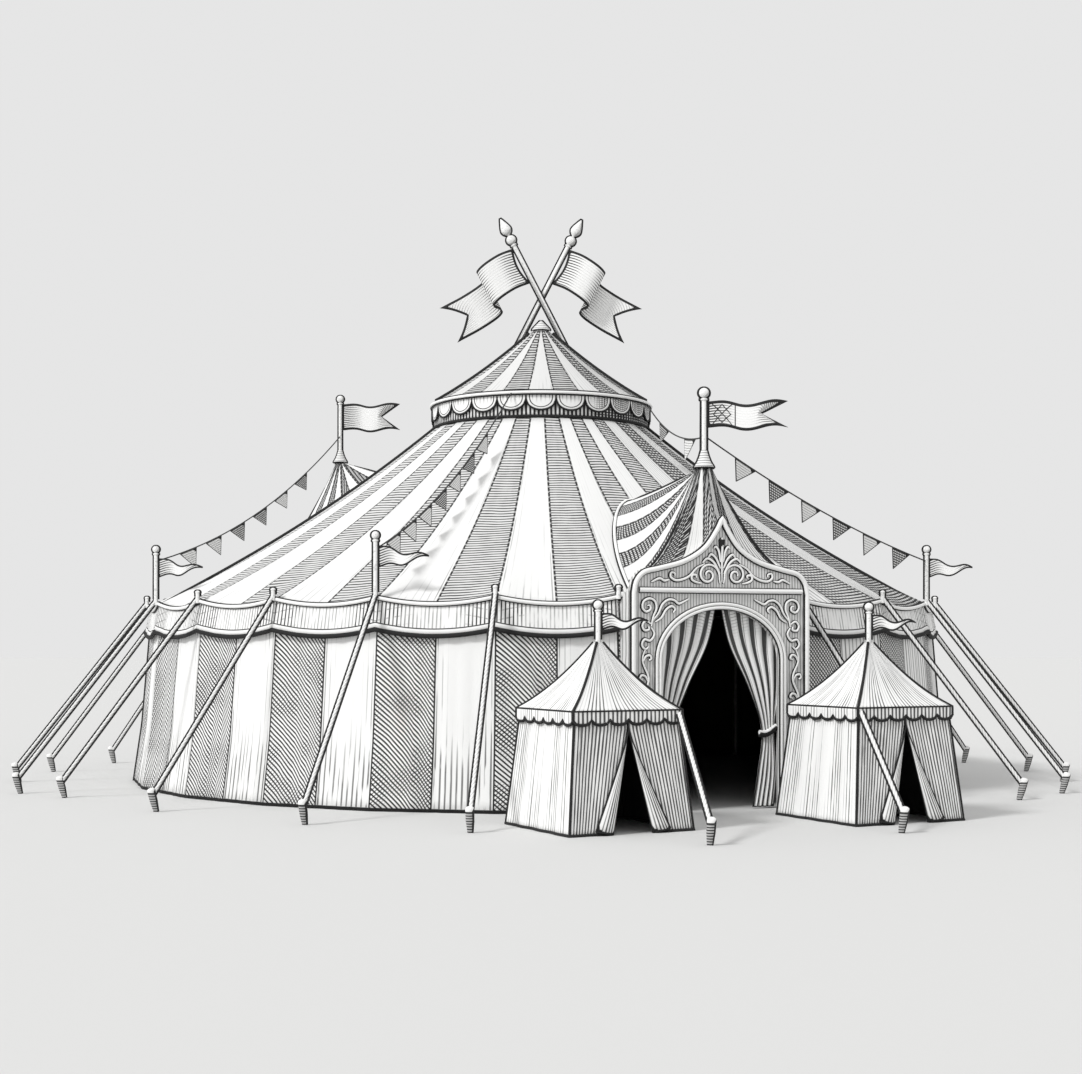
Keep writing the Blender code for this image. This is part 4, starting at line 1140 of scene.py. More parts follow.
# %% The crown's rope, and the outlines of crown, roofs and walls
CROWN_LINES = ((2.555, 8.735), (2.592, 8.645))
DRUM_ENDS = ((2.535, 8.17), (2.565, 8.34))
CROWN_SEEN = 2.55
WALL_SEEN = 9.2
rolled_trim("crown_rope", [ring(CUPOLA_RIM_RADIUS, 8.690)], inwards, line=0.016)
ink_piece("crown_lines", [ring(*measures) for measures in CROWN_LINES], 0.022, sides=8)
ink_piece("drum_foot_line", [ring(2.53, 8.165)], 0.034, sides=8)
turned_away = degrees(acos(CROWN_SEEN / -EYE.y))
crown_ends = [
    [polar(radius, side * turned_away, height) for height in (8.66, foot)]
    for radius, foot in DRUM_ENDS for side, word in SIDES
]
ink_piece("drum_ends", crown_ends, 0.03, ["crown_drum"], sides=8)
edge_lines("cupola_edges", cupola_point, 0.05, 0.985, "cupola_roof")
edge_lines("main_roof_edges", roof_point, 0.005, 0.97, "main_roof")


def seen_offset(post):
    """How far to the right of the king pole a post's foot is seen."""
    foot = polar(WALL_SEEN, post, 0)
    return foot.x / (foot.y - EYE.y)


wall_ends = [min(posts, key=seen_offset), max(posts, key=seen_offset)]
wall_runs = [[wall_point(post, share) for share in spread(0.08, 1, 16)] for post in wall_ends]
ink_piece("wall_edges", wall_runs, 0.036, sides=8)


# %% Round pieces, turned on the king pole's axis or any other one
def tightened(profile, margin=0.012):
    """The same profile with a row close to each end of its long stretches, so that they shade evenly."""
    rows = [profile[0]]
    for (low_radius, low), (high_radius, high) in zip(profile, profile[1:]):
        share = margin / max(high - low, margin)
        if share < 0.25:
            for place in (share, 1 - share):
                rows.append((mix(low_radius, high_radius, place), mix(low, high, place)))
        rows.append((high_radius, high))
    return rows


def round_mesh(name, foot, profile, sides, run):
    """A round body from (radius, distance along its run) pairs, closed at both ends."""
    profile = tightened(profile)
    across = Vector((0, 1, 0)).cross(run).normalized()
    depth = run.cross(across)
    points, faces = [], []
    for radius, height in profile:
        for side in range(sides):
            angle = 2 * pi * side / sides
            points.append(foot + run * height + across * radius * cos(angle) + depth * radius * sin(angle))
    for row in range(len(profile) - 1):
        for side in range(sides):
            after = (side + 1) % sides
            this, above = row * sides, (row + 1) * sides
            faces.append((this + side, this + after, above + after, above + side))
    faces.append(tuple(reversed(range(sides))))
    faces.append(tuple(range((len(profile) - 1) * sides, len(profile) * sides)))
    mesh = meshed(name, points, [], faces)
    mesh.polygons.foreach_set("use_smooth", [len(face) == 4 for face in faces])
    return mesh


def turned(name, foot, profile, finish, slot, nodes, sides=24, run=up):
    """A round upright piece, or one along another run, from (radius, distance) pairs."""
    piece = link(name, round_mesh(name, foot, profile, sides, run))
    note_light(piece)
    return dress(piece, finish, slot, *nodes)


def ball(radius, height, steps=8):
    """(radius, height) pairs of a ball about a height, without its very poles."""
    angles = [pi * (step + 0.5) / (steps + 1) for step in range(steps + 1)]
    return [(radius * sin(angle), height - radius * cos(angle)) for angle in angles]


def pole_head(radius, brim, top, drops, size, centre):
    """A pole's head: a collar at four distances under its top, and a ball centred at another one."""
    collar = [(width, top - drop) for width, drop in zip((radius, brim, brim, radius), drops)]
    return collar + ball(size, top - centre)


# %% Wood and cap cloth, the cap, and the frame inside
def wood_finish():
    """Painted wood: pale, with the long uneven lines of its grain."""
    paint = Paint("painted_wood")
    east, north, height = paint.parts(paint.place())
    streak = paint.stretched_noise(1.0, east * 30, north * 30, height * 1.5)
    return paint.finish(streak.ramp(0.52, 0.62) * 0.35, 0.74, 0.6 + streak * 0.1, streak)


def cap_finish():
    """Pale cloth cone with level lines drawn round it."""
    paint = Paint("cap_cloth")
    east, north, height = paint.parts(paint.place())
    return paint.finish(lines(height / 0.05 + paint.noise(3.0) * 0.2, 0.3) * 0.8, 0.84, 0.8, 60.0)


def pole_finish():
    """A pale painted pole, inked along its shade side."""
    paint = Paint("painted_pole")
    grain = paint.noise(24.0)
    ink = either(paint.shade(-0.2, 0.0) * 0.5, grain.ramp(0.56, 0.62) * 0.25)
    return paint.finish(ink, 0.86, 0.6, grain, 0.002)


CAP_PROFILE = [
    (0.20, 10.5205), (0.218, 10.535), (0.205, 10.56), (0.17, 10.60), (0.12, 10.65), (0.07, 10.705),
    (0.03, 10.75),
]
painted_wood = wood_finish()
painted_pole = pole_finish()
cap_cloth = cap_finish()
turned("crown_cap_cloth", ORIGIN, CAP_PROFILE, cap_cloth, "striped_canvas", ["crown_cap"], sides=28)
ink_piece("crown_cap_edge", [profile_edge(ORIGIN, CAP_PROFILE)], 0.026, ["crown_cap"], sides=8)
for node in ("king_pole", "crown_frame", "eave_frame"):
    solid = frame["nodes"][node]
    solid.data.materials.clear()
    solid.data.materials.append(painted_wood)

# %% [markdown]
# ## The two canopies
# Each canopy is one sagging cloth, hung from a ring on its mast. Spokes of cloth run down to the
# main roof or to the gable. A spoke stops where it meets the roof, found by walking down it, so
# the seam lies on the roof whatever the roof's own curve is.

# %% The gable's edge, and the canopy's edge on the roof
GABLE = [
    (0.0, 5.48), (0.115, 5.26), (0.326, 4.97), (0.578, 4.78), (0.894, 4.64), (1.345, 4.53), (1.63, 4.46),
    (1.787, 4.30), (1.84, 4.08),
]
PORTAL_FACE = 9.33
PORTAL_BACK = 9.21
RIM_INSIDE_EAVE = 0.06
RIM_INSIDE_POST = 0.02
RIM_SUNK = 0.10


def mirrored(pairs):
    """The left-hand copy of a run on the portal's face."""
    return [(-along, height) for along, height in pairs]


gable_right = [tuple(point) for point in smooth_path(GABLE, 5)]
gable_edge = mirrored(reversed(gable_right[1:])) + gable_right


def rim_point(azimuth, half_angle, ridge_end, turn):
    """A point of a canopy's edge on the roof: turn is -1 at its right-hand post, 1 at its left-hand one."""
    reach = EAVE_RADIUS * cos(radians(half_angle)) - RIM_INSIDE_EAVE
    width = EAVE_RADIUS * sin(radians(half_angle)) - RIM_INSIDE_POST
    share = abs(turn) ** 1.4
    outwards = polar(1, azimuth, 0)
    across = Vector((-outwards.y, outwards.x, 0))
    side = -1 if turn > 0 else 1
    spot = outwards * mix(ridge_end, reach, share) + across * side * width * share**0.6
    down = (hypot(spot.x, spot.y) - CROWN_RADIUS) / (EAVE_RADIUS - CROWN_RADIUS)
    spot.z = roof_height(down) - RIM_SUNK
    return spot


def between(stops, place):
    """The value at a place between (place, value) stops."""
    for (low, first), (high, second) in zip(stops, stops[1:]):
        if place <= high:
            return mix(first, second, (place - low) / (high - low))
    return stops[-1][1]


# %% The spokes of a canopy, and where they meet the roof
RING_RADIUS = 0.15
SPOKE_TRIES = 80
SPOKE_ROWS = 26
CLOTH_LIFT = 0.012
PORCH_CANOPY_TOP = 6.43
REAR_CANOPY_TOP = 8.12


def spoke(top, point, power, share):
    start = top + Vector((point.x - top.x, point.y - top.y, 0)).normalized() * RING_RADIUS
    spot = mix(start, point, share)
    spot.z = point.z + (start.z - point.z) * (1 - share) ** power
    return spot


def spoke_end(top, point, power):
    """How far down its spoke a canopy's cloth runs before it meets the roof."""
    before = 0.0
    for step in range(10, SPOKE_TRIES + 1):
        share = step / SPOKE_TRIES
        spot = spoke(top, point, power, share)
        over = spot.z - roof_under(spot) - CLOTH_LIFT
        if over < 0:
            return mix((step - 1) / SPOKE_TRIES, share, before / (before - over))
        before = over
    return 1.0


# %% A canopy, and its outline from the front
NEAR_COLUMNS = 6
SHORTEST_TRACK = 8
TAPER_STEPS = 5


def canopy_edges(name, grid, node):
    """A dark seam along each line where a canopy turns away from the front, followed from row to row."""
    tracks = []
    for number, (upper, lower) in enumerate(zip(grid[2:], grid[3:])):
        facing = []
        for column, corner in enumerate(upper):
            turn = (lower[column] - corner).cross(upper[(column + 1) % len(upper)] - corner)
            facing.append(turn.dot(EYE - corner) > 0)
        for column, point in enumerate(upper):
            if facing[column] != facing[column - 1]:
                before = [track for track in tracks
                          if track[-1][0] == number - 1 and abs(track[-1][1] - column) < NEAR_COLUMNS]
                if before:
                    before[0].append((number, column, point))
                else:
                    tracks.append([(number, column, point)])
    runs = []
    for track in tracks:
        points = [point + up * 0.01 for number, column, point in track]
        if len(points) > SHORTEST_TRACK:
            trios = zip(points, points[1:], points[2:])
            runs.append([(before + point + after) / 3 for before, point, after in trios])
    print(name, "runs:", [len(run) for run in runs])
    tapers = [
        [min(1.0, (step + 1) / TAPER_STEPS, (len(run) - step) / TAPER_STEPS) for step in range(len(run))]
        for run in runs
    ]
    ink_piece(name, runs, 0.028, [node], sides=8, thick=tapers)


def canopy(node, top, edge, turns):
    """A canopy from its edge's points, each with its power, and whether it lies on the roof."""
    name = node + "_canvas"
    ends = [spoke_end(top, point, power) if on_roof else 1.0 for point, power, on_roof in edge]
    grid = [
        [spoke(top, point, power, end * share) for (point, power, on_roof), end in zip(edge, ends)]
        for share in spread(0, 1, SPOKE_ROWS)
    ]
    finish = roof_finish(name, 0.075, 0.46, 7, 0.02, 0.80, crossed=1.0)
    cloth = lined_canvas(name, grid, turns, finish, node, closed=True)
    canopy_edges(node + "_edges", grid, node)
    rim = [point + up * 0.03 for point in grid[-1][:FLANK_POINTS + 1]]
    rolled_trim(node.replace("canopy", "rim_rope"), [rim], downwards)


# %% The porch canopy
FLANK_POINTS = 48
FLANK_STRIPES = 8
PORCH_RIDGE_END = 5.13
PORCH_POWERS = [(0.0, 1.35), (0.2, 1.6), (0.4, 2.0), (1.0, 2.0)]
rim_turns = spread(-1, 1, FLANK_POINTS)
edge = [
    (rim_point(PORTAL_AZIMUTH, PORTAL_HALF_ANGLE, PORCH_RIDGE_END, turn),
     between(PORCH_POWERS, abs(turn)), True)
    for turn in rim_turns
]
turns = [(turn + 1) * FLANK_STRIPES for turn in rim_turns]
front = [(along * 0.985, height - 0.06) for along, height in gable_edge if abs(along) < 1.80]
for number, (along, height) in enumerate(front, 1):
    edge.append((portal_point(along, PORTAL_BACK - 0.007, height), 1.7, False))
    turns.append(2 * FLANK_STRIPES + 0.2 + number / len(front) * 7.6)
turns.append(2 * FLANK_STRIPES + 8)
canopy("porch_canopy", PORCH_MAST + up * PORCH_CANOPY_TOP, edge, turns)

# %% The rear canopy, over four bays
REAR_BAY = 15.3
REAR_STRIPES = 9
REAR_RIDGE_END = 3.70
OUTER_POINTS = 40
REAR_POWERS = [(0.0, 1.25), (1 / 7, 1.5), (2 / 7, 1.8), (1.0, 1.8)]
OUTER_POWERS = [(0.0, 1.7), (1 / 6, 1.5), (2 / 6, 1.2), (3 / 6, 1.0), (4 / 6, 1.2), (5 / 6, 1.5), (1.0, 1.7)]
edge = [
    (rim_point(REAR_AZIMUTH, 2 * REAR_BAY, REAR_RIDGE_END, turn), between(REAR_POWERS, abs(turn)), True)
    for turn in rim_turns
]
turns = [(turn + 1) * REAR_STRIPES for turn in rim_turns]
for share in spread(0, 1, OUTER_POINTS):
    azimuth = REAR_AZIMUTH + mix(-1.5, 1.5, share) * REAR_BAY
    point = polar((EAVE_RADIUS - 0.03) * straight(azimuth), azimuth, EAVE_HEIGHT - 0.25)
    edge.append((point, between(OUTER_POWERS, share), True))
    turns.append(2 * REAR_STRIPES + 0.1 + share * 11.8)
turns.append(2 * REAR_STRIPES + 12)
canopy("rear_canopy", REAR_MAST + up * REAR_CANOPY_TOP, edge, turns)

# %% [markdown]
# ## Pegs, guys and stakes
# A round tent is pulled outwards all the way round. At each post a guy runs from its peg down to a
# stake that leans away from the tent. All the pegs are alike, and so are the stakes, so each is
# turned once and set out by Geometry Nodes on a list of places.

# %% A tree that plants one model at every point
def planting_tree():
    given, node, end = new_tree("one model at every point", {"Model": "Object", "Material": "Material"})
    model = node("GeometryNodeObjectInfo", {"Object": given["Model"]}, "Geometry")
    turn = node("GeometryNodeInputNamedAttribute", {"Name": "turn"}, "Attribute", data_type="FLOAT_VECTOR")
    rotation = node("FunctionNodeEulerToRotation", {0: turn})
    where = {"Points": given["Geometry"], "Instance": model, "Rotation": rotation}
    return end(node("GeometryNodeInstanceOnPoints", where))


planting, planting_keys = planting_tree()


def planted_piece(name, profile, places, turns, finish, nodes, sides=16):
    """One turned model at every place, with its turn, as a single mesh."""
    model = link(name + "_model", round_mesh(name + "_model", ORIGIN, profile, sides, up))
    helper = link(name + "_places", meshed(name + "_places", places, [], []))
    turn = helper.data.attributes.new("turn", "FLOAT_VECTOR", "POINT")
    turn.data.foreach_set("vector", [part for euler in turns for part in euler])
    piece = baked(helper, name, planting, planting_keys, {"Model": model, "Material": finish})
    bpy.data.objects.remove(model)
    note_light(piece)
    return seat(piece, nodes)


# %% Pegs at the posts
PEG_RADIUS = 0.045
PEG_SEEN_FROM = 4.06
PEG_PROFILE = [
    (PEG_RADIUS, 3.925), (PEG_RADIUS, 4.13), (0.052, 4.14), (0.052, 4.155), (0.042, 4.172), (0.02, 4.183),
]
FLAG_PEG_PROFILE = [
    (PEG_RADIUS, 3.925), *pole_head(PEG_RADIUS, 0.062, 5.05, (0.05, 0.03, 0.015, 0), 0.078, -0.078),
]


def all_pegs():
    """Pegs at all the posts, taller ones where a flag flies, and their outlines."""
    plain_posts = [post for post in posts if post not in FLAG_POSTS]
    outlines = []
    groups = (("pegs", PEG_PROFILE, plain_posts), ("flag_pegs", FLAG_PEG_PROFILE, FLAG_POSTS))
    for name, profile, group in groups:
        places = [polar(PEG_CIRCLE, post, 0) for post in group]
        turns = [(0, 0, 0)] * len(group)
        planted_piece(name, profile, places, turns, painted_pole, guy_nodes)
        outlines += [profile_edge(place, [(PEG_RADIUS, PEG_SEEN_FROM), *profile[1:]]) for place in places]
    ink_piece("peg_edges", outlines, 0.023, guy_nodes)


all_pegs()

# %% Guys and stakes
SPLAYED_STAKES = {33.05: (7.2, -7.74), 49.3: (9.5, -6.5), 325.4: (-7.1, -8.9), 310.25: (-9.6, -6.0)}
STAKE_CIRCLE = 11.9
FRONT_STAKE_CIRCLE = 12.5
FRONT_GUY_POST = 354.7
STAKE_LEAN = 0.12
STAKE_HEIGHT = 0.45
STAKE_PROFILE = [(0.052, 0.0), (0.072, 0.2), (0.075, 0.40), (0.068, 0.435), (0.04, 0.452)]
GUY_TOP = 4.03
GUY_FOOT = 0.30
GUY_RADIUS = 0.04
GUY_LAY = (3, 0.16, 20)
GUY_LINE_APART = 0.046
GUY_LINE_RADIUS = 0.019


def stake_foot(post):
    if post in SPLAYED_STAKES:
        return Vector((*SPLAYED_STAKES[post], 0))
    return polar(FRONT_STAKE_CIRCLE if post == FRONT_GUY_POST else STAKE_CIRCLE, post, 0)


def stake_finish():
    """A dark driven stake with a pale bare top, and painted shade on its side turned from the light."""
    paint = Paint("stake_wood")
    east, north, height = paint.parts(paint.place())
    level = lines(height / 0.045 + paint.noise(4.0) * 0.3, 0.5)
    body = height.fall(0.33, 0.345)
    brim = (height - 0.345).size().fall(0.008, 0.014)
    ink = either(level * body, body * 0.45, brim, paint.shade(-0.15, 0.05))
    return paint.finish(ink, 0.84, 0.85, 30.0, 0.004)


def guy_runs(ends, steps):
    """The run of each guy from (top, foot of stake) pairs, and the turn of its stake."""
    runs, turns = [], []
    for top, foot in ends:
        outwards = Vector((foot.x - top.x, foot.y - top.y, 0)).normalized()
        end = foot + outwards * STAKE_LEAN * GUY_FOOT / STAKE_HEIGHT + up * GUY_FOOT
        runs.append(spread(top, end, steps))
        turns.append((0, atan2(STAKE_LEAN, STAKE_HEIGHT), atan2(outwards.y, outwards.x)))
    return runs, turns


def guys(name, runs, nodes):
    """Laid guys, and a tarred line along both sides of each."""
    swept_piece(name, runs, laid_rope, nodes, GUY_RADIUS, 12, lay=GUY_LAY)
    side_lines(name + "_tarred", runs, GUY_LINE_APART, GUY_LINE_RADIUS, nodes)
    print(name, len(runs), "from", round((runs[0][0] - runs[0][-1]).length, 2), "m")


def stakes(name, feet, turns, nodes):
    planted_piece(name, STAKE_PROFILE, feet, turns, stake_wood, nodes)


stake_wood = stake_finish()
feet = [stake_foot(post) for post in posts[:-1]]
tops = [polar(PEG_CIRCLE, post, GUY_TOP) for post in posts[:-1]]
runs, turns = guy_runs(list(zip(tops, feet)), 150)
stakes("stakes", feet, turns, guy_nodes)
guys("guy_ropes", runs, guy_nodes)

# %% [markdown]
# ## Masts and crossed poles
# Masts, balls and spear heads are turned wood, so each is one profile swung round its axis. The
# crossed poles seat on the cupola: each foot is cut to the cloth's slope, point by point.

# %% Masts, their canopy caps and balls
MAST_FOOT = 3.9003
PORCH_MAST_TOP = 7.95
REAR_MAST_TOP = 9.97
MAST_SHAFT = 0.06
MAST_RADIUS = 0.05
MAST_CAP = [(0.19, 0), (0.185, 0.03), (0.13, 0.12), (0.09, 0.22), (0.06, 0.335), (0.052, 0.34)]


def mast(name, foot, canopy_top, top):
    shaft = [(MAST_SHAFT, MAST_FOOT), (MAST_SHAFT, canopy_top + 0.02)]
    head = pole_head(MAST_RADIUS, 0.072, top, (0.24, 0.225, 0.205, 0.19), 0.1, 0.09)
    head.insert(0, (MAST_RADIUS, canopy_top + 0.3))
    turned(name + "_pole", foot, [*shaft, *head], painted_pole, "painted_wood", [name])
    ink_piece(name + "_edge", [profile_edge(foot, head)], 0.028, [name])
    low = canopy_top + 0.004
    cap = [(radius, low + rise) for radius, rise in MAST_CAP]
    turned(name + "_cap", foot, cap, cap_cloth, "striped_canvas", [name])
    outline = profile_edge(foot, cap)
    ink_piece(name + "_cap_edges", [outline[:len(cap)], outline[len(cap):]], 0.024, [name])
    brim = [foot + polar(MAST_CAP[0][0], azimuth, low) for azimuth in spread(90, 450, 24)]
    ink_piece(name + "_cap_line", [brim], 0.018)


mast("porch_mast", PORCH_MAST, PORCH_CANOPY_TOP, PORCH_MAST_TOP)
mast("rear_mast", REAR_MAST, REAR_CANOPY_TOP, REAR_MAST_TOP)

# %% The crossed poles, with their balls and spear heads
CROSSED_RADIUS = 0.055
CROSSED_WOOD = 0.052
CROSSED_FLAT = CROSSED_RADIUS * cos(pi / 8)
CROSSED_OFFSET = CROSSED_FLAT + 0.00015
POLE_SIDES = 24
SPEAR_KNOTS = [(0.055, 0.15), (0.10, 0.20), (0.125, 0.27), (0.105, 0.36), (0.06, 0.47), (0.012, 0.58)]


def crossed_line(side):
    """Foot, direction and length up to the ball of the pole that leans to one side."""
    foot = Vector((-0.636 * side, CROSSED_OFFSET * side, 10.03))
    run = Vector((0.70 * side, CROSSED_OFFSET * side, 12.64)) - foot
    return foot, run.normalized(), run.length


def cupola_height(spot):
    out = hypot(spot.x, spot.y)
    return cupola_point((out - CUPOLA_TOP_RADIUS) / (CUPOLA_RIM_RADIUS - CUPOLA_TOP_RADIUS), 0).z


def crossed_pole(side, word):
    """A turned pole with its ball and spear head, its foot cut to the cupola's cloth."""
    foot, run, length = crossed_line(side)
    node = "crossed_pole_" + word
    spear = [(radius, length + height) for radius, height in smooth_path(SPEAR_KNOTS, 3)]
    head = pole_head(CROSSED_WOOD, 0.075, length, (0.15, 0.14, 0.11, 0.10), 0.118, -0.01) + spear
    profile = [(CROSSED_WOOD, 0.0), *head]
    pole = turned(node + "_wood", foot, profile, painted_pole, "painted_wood", [node], POLE_SIDES, run)
    outline = profile_edge(foot, [(CROSSED_WOOD, 0.12), *head], run)
    ink_piece(node + "_edge", [outline], 0.028, [node])
    for vertex in pole.data.vertices[:POLE_SIDES]:
        while vertex.co.z < cupola_height(vertex.co) + 0.006:
            vertex.co += run * 0.002


for side, word in SIDES:
    crossed_pole(side, word)

# %% [markdown]
# ## Flags
# A flag streams because the wind bends it into a travelling wave, which grows from nothing at the
# hoist. Each flag here is that wave on a fine grid. The engraver draws it with lines along its
# length, close together as painted shade where the cloth turns away, and with a firm black edge.

# %% The finish of flags and banners
def flag_finish(name, step=0.05, motif=False, rim=0.056):
    paint = Paint(name)
    across, climb = paint.cloth()
    along = lines((climb + paint.noise(3.0) * 0.03) / step, paint.attribute("shade"))
    ink = either(along, paint.attribute("edge").fall(rim - 0.004, rim + 0.004))
    if motif:
        border = (across - 0.56).size().fall(0.008, 0.014)
        rise = (climb - 0.25).size()
        reach = (across - 0.30).size()
        lattice = (rise - reach).size().fall(0.010, 0.018) * reach.fall(0.22, 0.225)
        diamond = (rise + reach - 0.17).size().fall(0.010, 0.018)
        ink = either(ink, border, lattice, diamond)
    return paint.finish(ink, 0.86, 0.8, 70.0)


def edge_distance(rows):
    """How far each point of a cloth lies from the cloth's nearest edge."""
    right, left = [row[-1] for row in rows[1:]], [row[0] for row in rows[1:-1]]
    border = [*rows[0], *right, *reversed(rows[-1][:-1]), *reversed(left)]
    sides = list(zip(border, [*border[1:], border[0]]))
    found = []
    for point in [point for row in rows for point in row]:
        nearest = 9.0
        for start, end in sides:
            side = end - start
            share = min(1.0, max(0.0, (point - start).dot(side) / max(side.length_squared, 1e-9)))
            nearest = min(nearest, (point - start - side * share).length)
        found.append(nearest)
    return found


def edged_cloth(name, rows, turns, finish, slot, node, thickness=FLAG_THICK):
    """A thin cloth that knows how far each of its points lies from its edge."""
    piece = dress(woven(name, rows, turns), finish, slot, node)
    note(piece, "edge", edge_distance(rows))
    thicken(piece, thickness)
    return piece


def flag_cloth(name, rows, shades, finish, node):
    """A flag from its rows, with how dense its lines are at each column."""
    reach = [0.0]
    for before, after in zip(rows[0], rows[0][1:]):
        reach.append(reach[-1] + (after - before).length)
    piece = edged_cloth(name, rows, reach, finish, "flag_cloth", node)
    note(piece, "shade", shades * len(rows))


flag_lines = flag_finish("flag_cloth")
motif_lines = flag_finish("porch_flag_cloth", motif=True)
banner_lines = flag_finish("banner_cloth", step=0.062)
pennant_lines = flag_finish("pennant_cloth", rim=0.033)

# %% The two banners, each folded once over itself
BANNER_KNOTS = [
    (0, 0, 0), (0.35, -0.10, -0.16), (0.70, -0.14, -0.40), (0.86, -0.02, -0.56), (0.74, 0.10, -0.60),
    (0.66, 0.17, -0.66), (0.80, 0.28, -0.80), (1.20, 0.30, -1.06), (1.62, 0.24, -1.30),
]
BANNER_HOIST = 0.92
BANNER_NOTCH = 0.36
BANNER_TIP = 0.14
BANNER_LEVELS = 12
BANNER_SHADES = [
    (0.0, 0.46), (0.10, 0.30), (0.17, 0.0), (0.24, 0.0), (0.34, 0.34), (0.40, 0.5), (0.62, 0.52), (0.78, 0.1),
    (0.86, 0.0), (1.0, 0.2),
]
banner_path = smooth_path(BANNER_KNOTS, 8)
banner_shares = [index / (len(banner_path) - 1) for index in range(len(banner_path))]


def banner_rows(side):
    east = Vector((side, 0, 0))
    north = Vector((0, 1, 0))
    foot, run, length = crossed_line(side)
    outwards = (east - east.project(run)).normalized()
    start = foot + run * (length - 1.10) + outwards * (CROSSED_FLAT + 0.003)
    rows = []
    for level in spread(1, 0, BANNER_LEVELS):
        row = []
        off = abs(2 * level - 1)
        cut = BANNER_NOTCH * (1 - off) ** 1.1 - BANNER_TIP * off**3
        for index, (point, share) in enumerate(zip(banner_path, banner_shares)):
            way = banner_path[min(index + 1, len(banner_path) - 1)] - banner_path[max(index - 1, 0)]
            way = (way.x * east + way.y * north + way.z * up).normalized()
            tail = cut * max(0.0, (share - 0.75) * 4) ** 1.4
            slack = 0.09 * sin(pi * level) * max(0.0, 1 - share * 6)
            spot = start + point.x * east + point.y * north + point.z * up + run * BANNER_HOIST * level
            row.append(spot - way * tail + outwards * slack)
        rows.append(row)
    return rows


shades = [between(BANNER_SHADES, share) for share in banner_shares]
for side, word in SIDES:
    node = "crossed_banner_" + word
    flag_cloth("banner_" + word, banner_rows(side), shades, banner_lines, node)

# %% Flags and pennants on masts and pegs
FLAG_COLUMNS = 36
FLAG_LEVELS = 10
PORCH_HOIST = 7.20
REAR_HOIST = 9.02
PEG_HOIST = 4.52
WAVES = 2.2
FLUTTERS = 2.9
FLUTTER = 0.055
MAST_CLEAR = Vector((MAST_RADIUS + SKIN, 0, 0))
PEG_CLEAR = Vector((PEG_RADIUS + SKIN, 0, 0))


def streaming(name, hoist, size, node, finish, tail=0.0, tip=1.0, wave=0.07):
    """A flag streaming towards +X from the foot of its hoist, with a swallow tail or narrowing to tip."""
    length, height = size
    shares = spread(0, 1, FLAG_COLUMNS)
    rows = []
    for level in spread(1, 0, FLAG_LEVELS):
        row = []
        for share in shares:
            reach = length * share - tail * (1 - abs(2 * level - 1)) * max(0.0, share - 0.6) / 0.4
            sway = wave * sin(WAVES * pi * share)
            flutter = FLUTTER * sin(FLUTTERS * pi * share + 0.4) * min(1.0, 2.5 * share)
            lift = height * (0.5 + (level - 0.5) * mix(1.0, tip, share)) + 0.5 * sway * share + flutter
            row.append(hoist + Vector((reach, sway * min(1.0, 3 * share), lift)))
        rows.append(row)
    shades = [0.25 + 0.24 * cos(WAVES * pi * share) - 0.12 * share for share in shares]
    flag_cloth(name, rows, shades, finish, node)


porch_hoist = PORCH_MAST + MAST_CLEAR + up * PORCH_HOIST
rear_hoist = REAR_MAST + MAST_CLEAR + up * REAR_HOIST
streaming("porch_streamer", porch_hoist, (1.55, 0.50), "porch_flag", motif_lines, tail=0.5)
streaming("rear_streamer", rear_hoist, (1.6, 0.72), "rear_flag", flag_lines, tail=0.5)
for number, post in enumerate(FLAG_POSTS, 1):
    hoist = polar(PEG_CIRCLE, post, PEG_HOIST) + PEG_CLEAR
    node = f"eave_pennant_{number}"
    streaming(f"eave_streamer_{number}", hoist, (0.95, 0.42), node, pennant_lines, tip=0.08)

# %% [markdown]
# ## The portal
# The entrance is a painted board, sawn to an ogee at the top and an arch at the doorway. Round
# mouldings are bent along both, and scrolls of carved wood are planted on the grey ground. Each
# scroll is a path drawn once for the right half, and mirrored.

# %% The board and its two side boards
ARCH_HALF_WIDTH = 1.225
ARCH_SPRING = 2.80
ARCH_TOP = 3.74
SIDE_BOARD = ((1.84, 9.25, 4.16), (1.84, 8.804, 3.84), (1.76, 8.804, 3.84), (1.76, 9.25, 4.16))


def board_finish():
    """Grey painted ground with close upright lines."""
    paint = Paint("board_ground")
    east, north, height = paint.parts(paint.place())
    upright_lines = lines((east + paint.noise(1.5) * 0.03) / 0.055, 0.34)
    patches = paint.noise(0.9).ramp(0.35, 0.7) * 0.12
    return paint.finish(either(upright_lines * 0.6, patches), 0.74, 0.75, 40.0, 0.002)


def arch_path(gap):
    """A path that far outside the doorway, as (along, height) pairs, from its right foot to its left one."""
    half_width = ARCH_HALF_WIDTH + gap
    rise = ARCH_TOP + gap - ARCH_SPRING
    curve = [(half_width * cos(angle), ARCH_SPRING + rise * sin(angle)) for angle in spread(0, pi, 28)]
    return [(half_width, 0.0), *curve, (-half_width, 0.0)]


def front_board():
    """The sawn board itself, with its arched doorway."""
    outline = [(-PORTAL_HALF_WIDTH, 0.0), *gable_edge, (PORTAL_HALF_WIDTH, 0.0), *arch_path(0)]
    points = [portal_point(along, PORTAL_FACE, height) for along, height in outline]
    board = link("portal_front", meshed("portal_front", points, [], [range(len(points))]))
    change = board.modifiers.new("board", "SOLIDIFY")
    change.thickness = PORTAL_FACE - PORTAL_BACK
    change.offset = -1 if board.data.polygons[0].normal.y < 0 else 1
    dress(board, board_ground, "carved_board", "portal_board")


